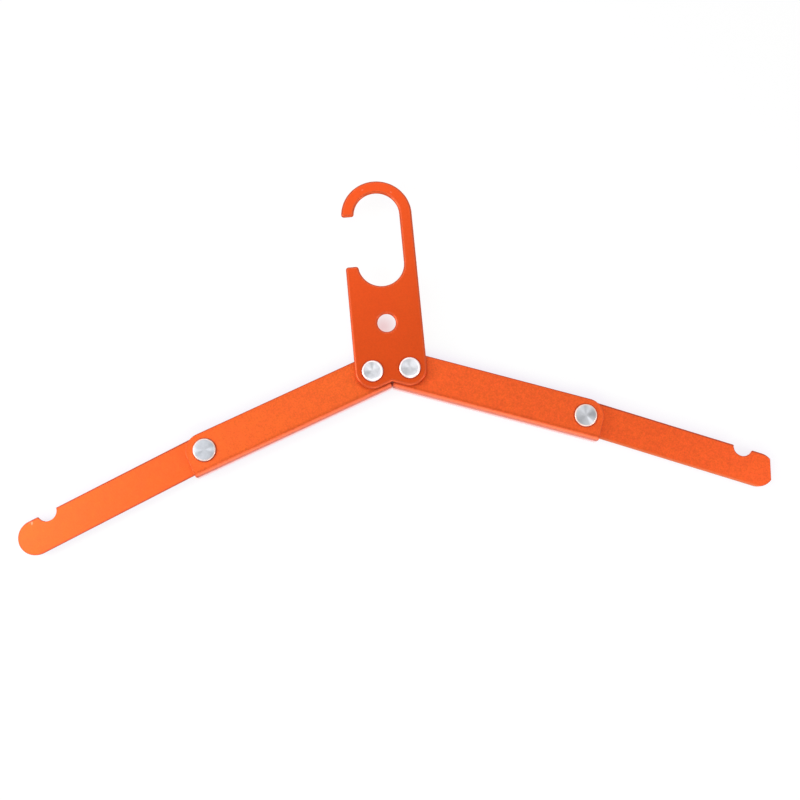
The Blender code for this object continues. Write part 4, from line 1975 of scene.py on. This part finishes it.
@dataclass
class OuterRivet:
    """The two-part rivet of a bar's pivot, with the spacer and the shim that the bar turns between.

    Attributes:
        linkage: The side's linkage.
        finish: The finish of both halves.
        bore_radius: Radius of the bore in the front half's tube.
        pin_radius: Radius of the rear half's pin.
        pin_clearance: Gap between the pin's end and the end of the bore.
        head_thickness: Thickness of each head.
        head_bevel: Radius of the round on each head.
        bevel_steps: Steps of a round.
        seed: Seed of the rivets' own variation.
    """

    linkage: Linkage
    finish: TurnedMetal
    bore_radius: float = 0.0015
    pin_radius: float = 0.0013
    pin_clearance: float = 0.0002
    head_thickness: float = 0.0009
    head_bevel: float = 0.0006
    bevel_steps: int = 6
    seed: float = 2.0

    def head_profile(self) -> Loop:
        """Return the front half's profile.

        Returns:
            Its radii and depths, from the middle of its face round to its tube's bore.
        """
        node = self.linkage.side.node("outer_rivet")
        layer, radius, bevel = Layer.of(node), turned_radius(node), self.head_bevel
        front, rear = layer.front, layer.front + self.head_thickness
        bore_end = Layer.of(self.linkage.side.node("outer_rivet_back")).front - self.pin_clearance
        profile = [(0.0, front), (radius / 2, front)]
        profile += arc((radius - bevel, front + bevel), bevel, -QUARTER_TURN, 0, self.bevel_steps)
        profile += [(radius, rear), (SHANK_RADIUS, rear), (SHANK_RADIUS, layer.rear)]
        return profile + [(self.bore_radius, layer.rear), (self.bore_radius, bore_end), (0.0, bore_end)]

    def back_profile(self) -> Loop:
        """Return the rear half's profile.

        Returns:
            Its radii and depths, from its pin's end round to the middle of its head.
        """
        node = self.linkage.side.node("outer_rivet_back")
        layer, radius, bevel = Layer.of(node), turned_radius(node), self.head_bevel
        front, rear = layer.rear - self.head_thickness, layer.rear
        profile = [(0.0, layer.front), (self.pin_radius, layer.front), (self.pin_radius, front)]
        profile += [(radius, front)]
        profile += arc((radius - bevel, rear - bevel), bevel, 0, QUARTER_TURN, self.bevel_steps)
        return profile + [(radius / 2, rear), (0.0, rear)]

    def build(self) -> None:
        """Build both halves and the nylon rings, and put them in their nodes' places."""
        side, place = self.linkage.side, self.linkage.outer_place
        face = self.finish.turned(side.value * self.linkage.arm_droop)
        profiles = {"outer_rivet": self.head_profile(), "outer_rivet_back": self.back_profile()}
        for piece, profile in profiles.items():
            node = side.node(piece)
            material = face.material(f"turned_{node}", self.seed + side.value)
            seat(node, TurnedShape(profile).mesh(node), material, side.arm_body, place)
        seat_rings(side, ("bar_spacer", "bar_shim"), side.arm_body, place)


@dataclass(frozen=True)
class Lamp:
    """A soft lamp that is aimed at the hanger.

    Attributes:
        name: The lamp's name.
        place: Where it stands.
        size: The side of its square face.
        share: How much of the plain light level it gives on a face turned to it.
    """

    name: str
    place: Place
    size: float
    share: float

    def light(self, aim: Place) -> None:
        """Add the lamp.

        Args:
            aim: The point that it is turned towards.
        """
        data = bpy.data.lights.new(self.name, "AREA")
        data.shape = "SQUARE"
        data.size = self.size
        away = Vector(aim) - Vector(self.place)
        data.energy = self.share * math.pi ** 2 * away.length_squared
        lamp = bpy.data.objects.new(self.name, data)
        bpy.context.scene.collection.objects.link(lamp)
        lamp.location = self.place
        lamp.rotation_euler = away.to_track_quat("-Z", "Y").to_euler()
        log.info("lamp %s, %.1f W", self.name, data.energy)


@dataclass(frozen=True)
class Camera:
    """The camera, at the photograph's viewing angle.

    Attributes:
        place: Where it stands.
        turn: Its turns about X, Y and Z, in degrees.
        lens: Its focal length in millimetres.
        sensor: The width of its sensor in millimetres.
        nearest: Distance in front of which it sees nothing.
    """

    place: Place = (-0.02151, -0.51452, -0.18657)
    turn: Triple = (97.687, 5.411, -2.028)
    lens: float = 43.034
    sensor: float = 36.0
    nearest: float = 0.01

    def build(self) -> None:
        """Add the camera and make it the scene's own."""
        data = bpy.data.cameras.new("camera")
        data.sensor_width = self.sensor
        data.lens = self.lens
        data.clip_start = self.nearest
        camera = bpy.data.objects.new("camera", data)
        bpy.context.scene.collection.objects.link(camera)
        turn = Euler([math.radians(angle) for angle in self.turn], "XYZ")
        camera.matrix_world = Matrix.Translation(self.place) @ turn.to_matrix().to_4x4()
        bpy.context.scene.camera = camera


def stage_sheet(name: str, size: float, place: Matrix, material: bpy.types.Material) -> bpy.types.Object:
    """Add a square sheet to the stage.

    Args:
        name: The sheet's name.
        size: Its side.
        place: Its own frame, in which it faces up.
        material: Its material.

    Returns:
        The sheet.
    """
    shape = bmesh.new()
    bmesh.ops.create_grid(shape, x_segments=1, y_segments=1, size=size / 2)
    mesh = bpy.data.meshes.new(name)
    shape.to_mesh(mesh)
    shape.free()
    mesh.materials.append(material)
    sheet = bpy.data.objects.new(name, mesh)
    bpy.context.scene.collection.objects.link(sheet)
    sheet.matrix_world = place
    return sheet


@dataclass(frozen=True)
class Floor:
    """The pale floor, which keeps the hanger's shadow.

    Attributes:
        height: How high it lies.
        size: Its side.
        colour: Its colour where it only gives light back.
        white: Share of plain white in it where it is seen.
    """

    height: float = -0.60
    size: float = 4.0
    colour: Colour = (0.85, 0.85, 0.85)
    white: float = 0.85

    def build(self) -> None:
        """Add the floor."""
        material = bpy.data.materials.new("pale_floor")
        nodes = Nodes(material)
        matt = nodes.add("ShaderNodeBsdfDiffuse", sockets={"Color": self.colour})
        white = nodes.add("ShaderNodeEmission", sockets={"Color": WHITE, "Strength": 1.0})
        share = nodes.seen() * self.white
        nodes.close(nodes.mixed_shader(matt.outputs[0], white.outputs[0], share))
        stage_sheet("floor", self.size, Matrix.Translation((0, 0, self.height)), material)


@dataclass(frozen=True)
class PaintedShadeSpot:
    """A soft round spot of painted shade on the white sheet.

    Attributes:
        x: Where its middle is.
        z: How high its middle is.
        outer: Radius at which it starts.
        inner: Radius within which it is full.
        colour: Its colour.
    """

    x: float
    z: float
    outer: float
    inner: float
    colour: Colour

    def mask(self, nodes: Nodes) -> Signal:
        """Return the spot's mask, which is 0 beyond it."""
        place = nodes.add("ShaderNodeNewGeometry").outputs["Position"]
        return nodes.distance(place, self.x, self.z).rise(self.outer, self.inner)


@dataclass(frozen=True)
class WhiteSheet:
    """The white sheet close behind the hanger, which only the camera sees, and only from its front.

    Attributes:
        gap: Distance from the rearmost rivets' heads to the sheet.
        size: Its side.
        colour: Share of the lamps' light that it gives back.
        open_colour: Light that it adds where nothing shades it.
        shade_colour: Light that it adds where the hanger shades it most.
        shade_lean: Direction that its light comes round.
        shade_reach: Distance beyond which a piece gives it no shade.
        shade_samples: Rays cast for each sample of the shade.
        painted_bounce_colour: Reddish light painted on it close beside the hanger, as the dye would throw
            back.
        bleed_lean: Direction that this colour comes round.
        bleed_reach: Distance beyond which a piece throws none.
        bleed_samples: Rays cast for each sample of the colour.
        bleed_gain: How fast the colour grows with the covered share of the directions.
        hole: The painted shade spot behind the hang hole.
        notch: The painted deep shade behind the notch between the arms.
        notch_gain: How fast the notch's shade grows with the sheet's own.
    """

    gap: float = 0.0006
    size: float = 3.0
    colour: Colour = (0.10, 0.10, 0.10)
    open_colour: Colour = (0.93, 0.93, 0.93)
    shade_colour: Colour = (0.75, 0.69, 0.81)
    shade_lean: Direction = (-0.45, -0.74, -0.50)
    shade_reach: float = 0.012
    shade_samples: int = 6
    painted_bounce_colour: Colour = (0.96, 0.38, 0.36)
    bleed_lean: Direction = (0.0, -0.6, 0.8)
    bleed_reach: float = 0.0025
    bleed_samples: int = 4
    bleed_gain: float = 4.0
    # Painted shade spots: one behind the hang hole, and deep shade behind the notch.
    hole: PaintedShadeSpot = PaintedShadeSpot(-0.0020, -0.0740, 0.012, 0.0, (0.79, 0.58, 0.59))
    notch: PaintedShadeSpot = PaintedShadeSpot(0.0004, -0.1035, 0.0048, 0.0038, (0.17, 0.016, 0.004))
    notch_gain: float = 3.0

    def build(self, foot: float) -> None:
        """Add the sheet.

        Args:
            foot: Height on which it stands.
        """
        rear = max(Layer.of(side.node("outer_rivet_back")).rear for side in Side)
        place = Matrix.Translation((0, rear + self.gap, foot + self.size / 2))
        upright = Matrix.Rotation(QUARTER_TURN, 4, "X")
        sheet = stage_sheet("white_sheet", self.size, place @ upright, self.material())
        sheet.visible_diffuse = False
        sheet.visible_glossy = False
        sheet.visible_transmission = False
        sheet.visible_shadow = False

    def material(self) -> bpy.types.Material:
        """Return the sheet's material.

        Returns:
            A material that is white in front, with painted shade, a painted reddish bounce and painted
            shade spots, and clear from behind.
        """
        material = bpy.data.materials.new("white_sheet")
        nodes = Nodes(material)
        # Painted shadow: the sheet's glow dims towards its shade colour where an Ambient Occlusion node
        # finds the hanger close.
        shade = nodes.open_share(self.shade_lean, self.shade_reach, self.shade_samples)
        # Painted bounce: a reddish glow just beside the hanger.
        painted_bounce_share = 1 - nodes.open_share(self.bleed_lean, self.bleed_reach, self.bleed_samples)
        # Painted deep shade behind the notch, which also turns the sheet's matt colour black.
        notch = self.notch.mask(nodes) * (1 - shade) * self.notch_gain
        matt = nodes.add("ShaderNodeBsdfDiffuse", sockets={"Color": nodes.mix(self.colour, BLACK, notch)})
        tint = nodes.mix(self.shade_colour, self.open_colour, shade)
        tint = nodes.mix(tint, self.painted_bounce_colour, painted_bounce_share * self.bleed_gain)
        # Painted shade seen through the hang hole.
        tint = nodes.mix(tint, self.hole.colour, self.hole.mask(nodes))
        tint = nodes.mix(tint, self.notch.colour, notch)
        glow = nodes.add("ShaderNodeEmission", sockets={"Color": tint})
        front = nodes.add("ShaderNodeAddShader", sockets={0: matt.outputs[0], 1: glow.outputs[0]})
        clear = nodes.add("ShaderNodeBsdfTransparent")
        behind = nodes.add("ShaderNodeNewGeometry").outputs["Backfacing"]
        nodes.close(nodes.mixed_shader(front.outputs[0], clear.outputs[0], behind))
        return material


@dataclass(frozen=True)
class Studio:
    """The plain studio: camera, soft lamps, a pale floor and a white sheet close behind the hanger.

    Attributes:
        camera: The camera.
        floor: The floor.
        sheet: The white sheet.
        aim: The point that the lamps are turned towards.
        ambient: Strength of the world where it only lights.
        lamps: The lamps.
    """

    camera: Camera = Camera()
    floor: Floor = Floor()
    sheet: WhiteSheet = WhiteSheet()
    aim: Place = (0.0, 0.0, -0.12)
    ambient: float = 0.28
    lamps: tuple[Lamp, ...] = (
        Lamp("left_lamp", (-0.46, -0.50, -0.08), 0.60, 0.267),
        Lamp("left_spot", (-0.52, -0.28, -0.12), 0.20, 0.319),
        Lamp("near_spot", (-0.36, -0.24, -0.12), 0.20, 0.146),
        Lamp("top_lamp", (-0.02, -0.30, 0.14), 0.20, 0.15),
        Lamp("right_lamp", (0.44, -0.30, -0.34), 0.15, 0.258),
        Lamp("low_lamp", (0.02, -0.12, -0.48), 0.25, 0.32),
        Lamp("rear_lamp", (0.20, 0.55, 0.10), 0.50, 0.35),
    )

    def build(self) -> None:
        """Build the camera, the world, the lamps and the stage."""
        bpy.context.scene.view_settings.view_transform = "Standard"
        self.camera.build()
        self.add_world()
        for lamp in self.lamps:
            lamp.light(self.aim)
        self.floor.build()
        self.sheet.build(self.floor.height)

    def add_world(self) -> None:
        """Add a world that is white where it is seen and dimmer where it only lights."""
        world = bpy.data.worlds.new("studio")
        bpy.context.scene.world = world
        nodes = Nodes(world)
        strength = nodes.seen() * (1 - self.ambient) + self.ambient
        backdrop = nodes.add("ShaderNodeBackground", sockets={"Color": WHITE, "Strength": strength})
        nodes.add("ShaderNodeOutputWorld", sockets={"Surface": backdrop.outputs[0]})


def main() -> None:
    """Build the studio and the hanger's finished pieces."""
    logging.basicConfig(level=logging.INFO, format="%(name)s: %(message)s")
    linkages = {side: Linkage.of(side) for side in Side}
    Studio().build()
    HookPlate(linkages[Side.LEFT], linkages[Side.RIGHT]).build()
    for side, linkage in linkages.items():
        ArmChannel(linkage, ARM_FINISHES[side]).build()
        OuterBar(linkage, BAR_FINISHES[side]).build()
        InnerRivet(linkage, DISHED_FACES[side]).build()
        OuterRivet(linkage, SUNBURST_FACES[side]).build()


if __name__ == "__main__":
    main()
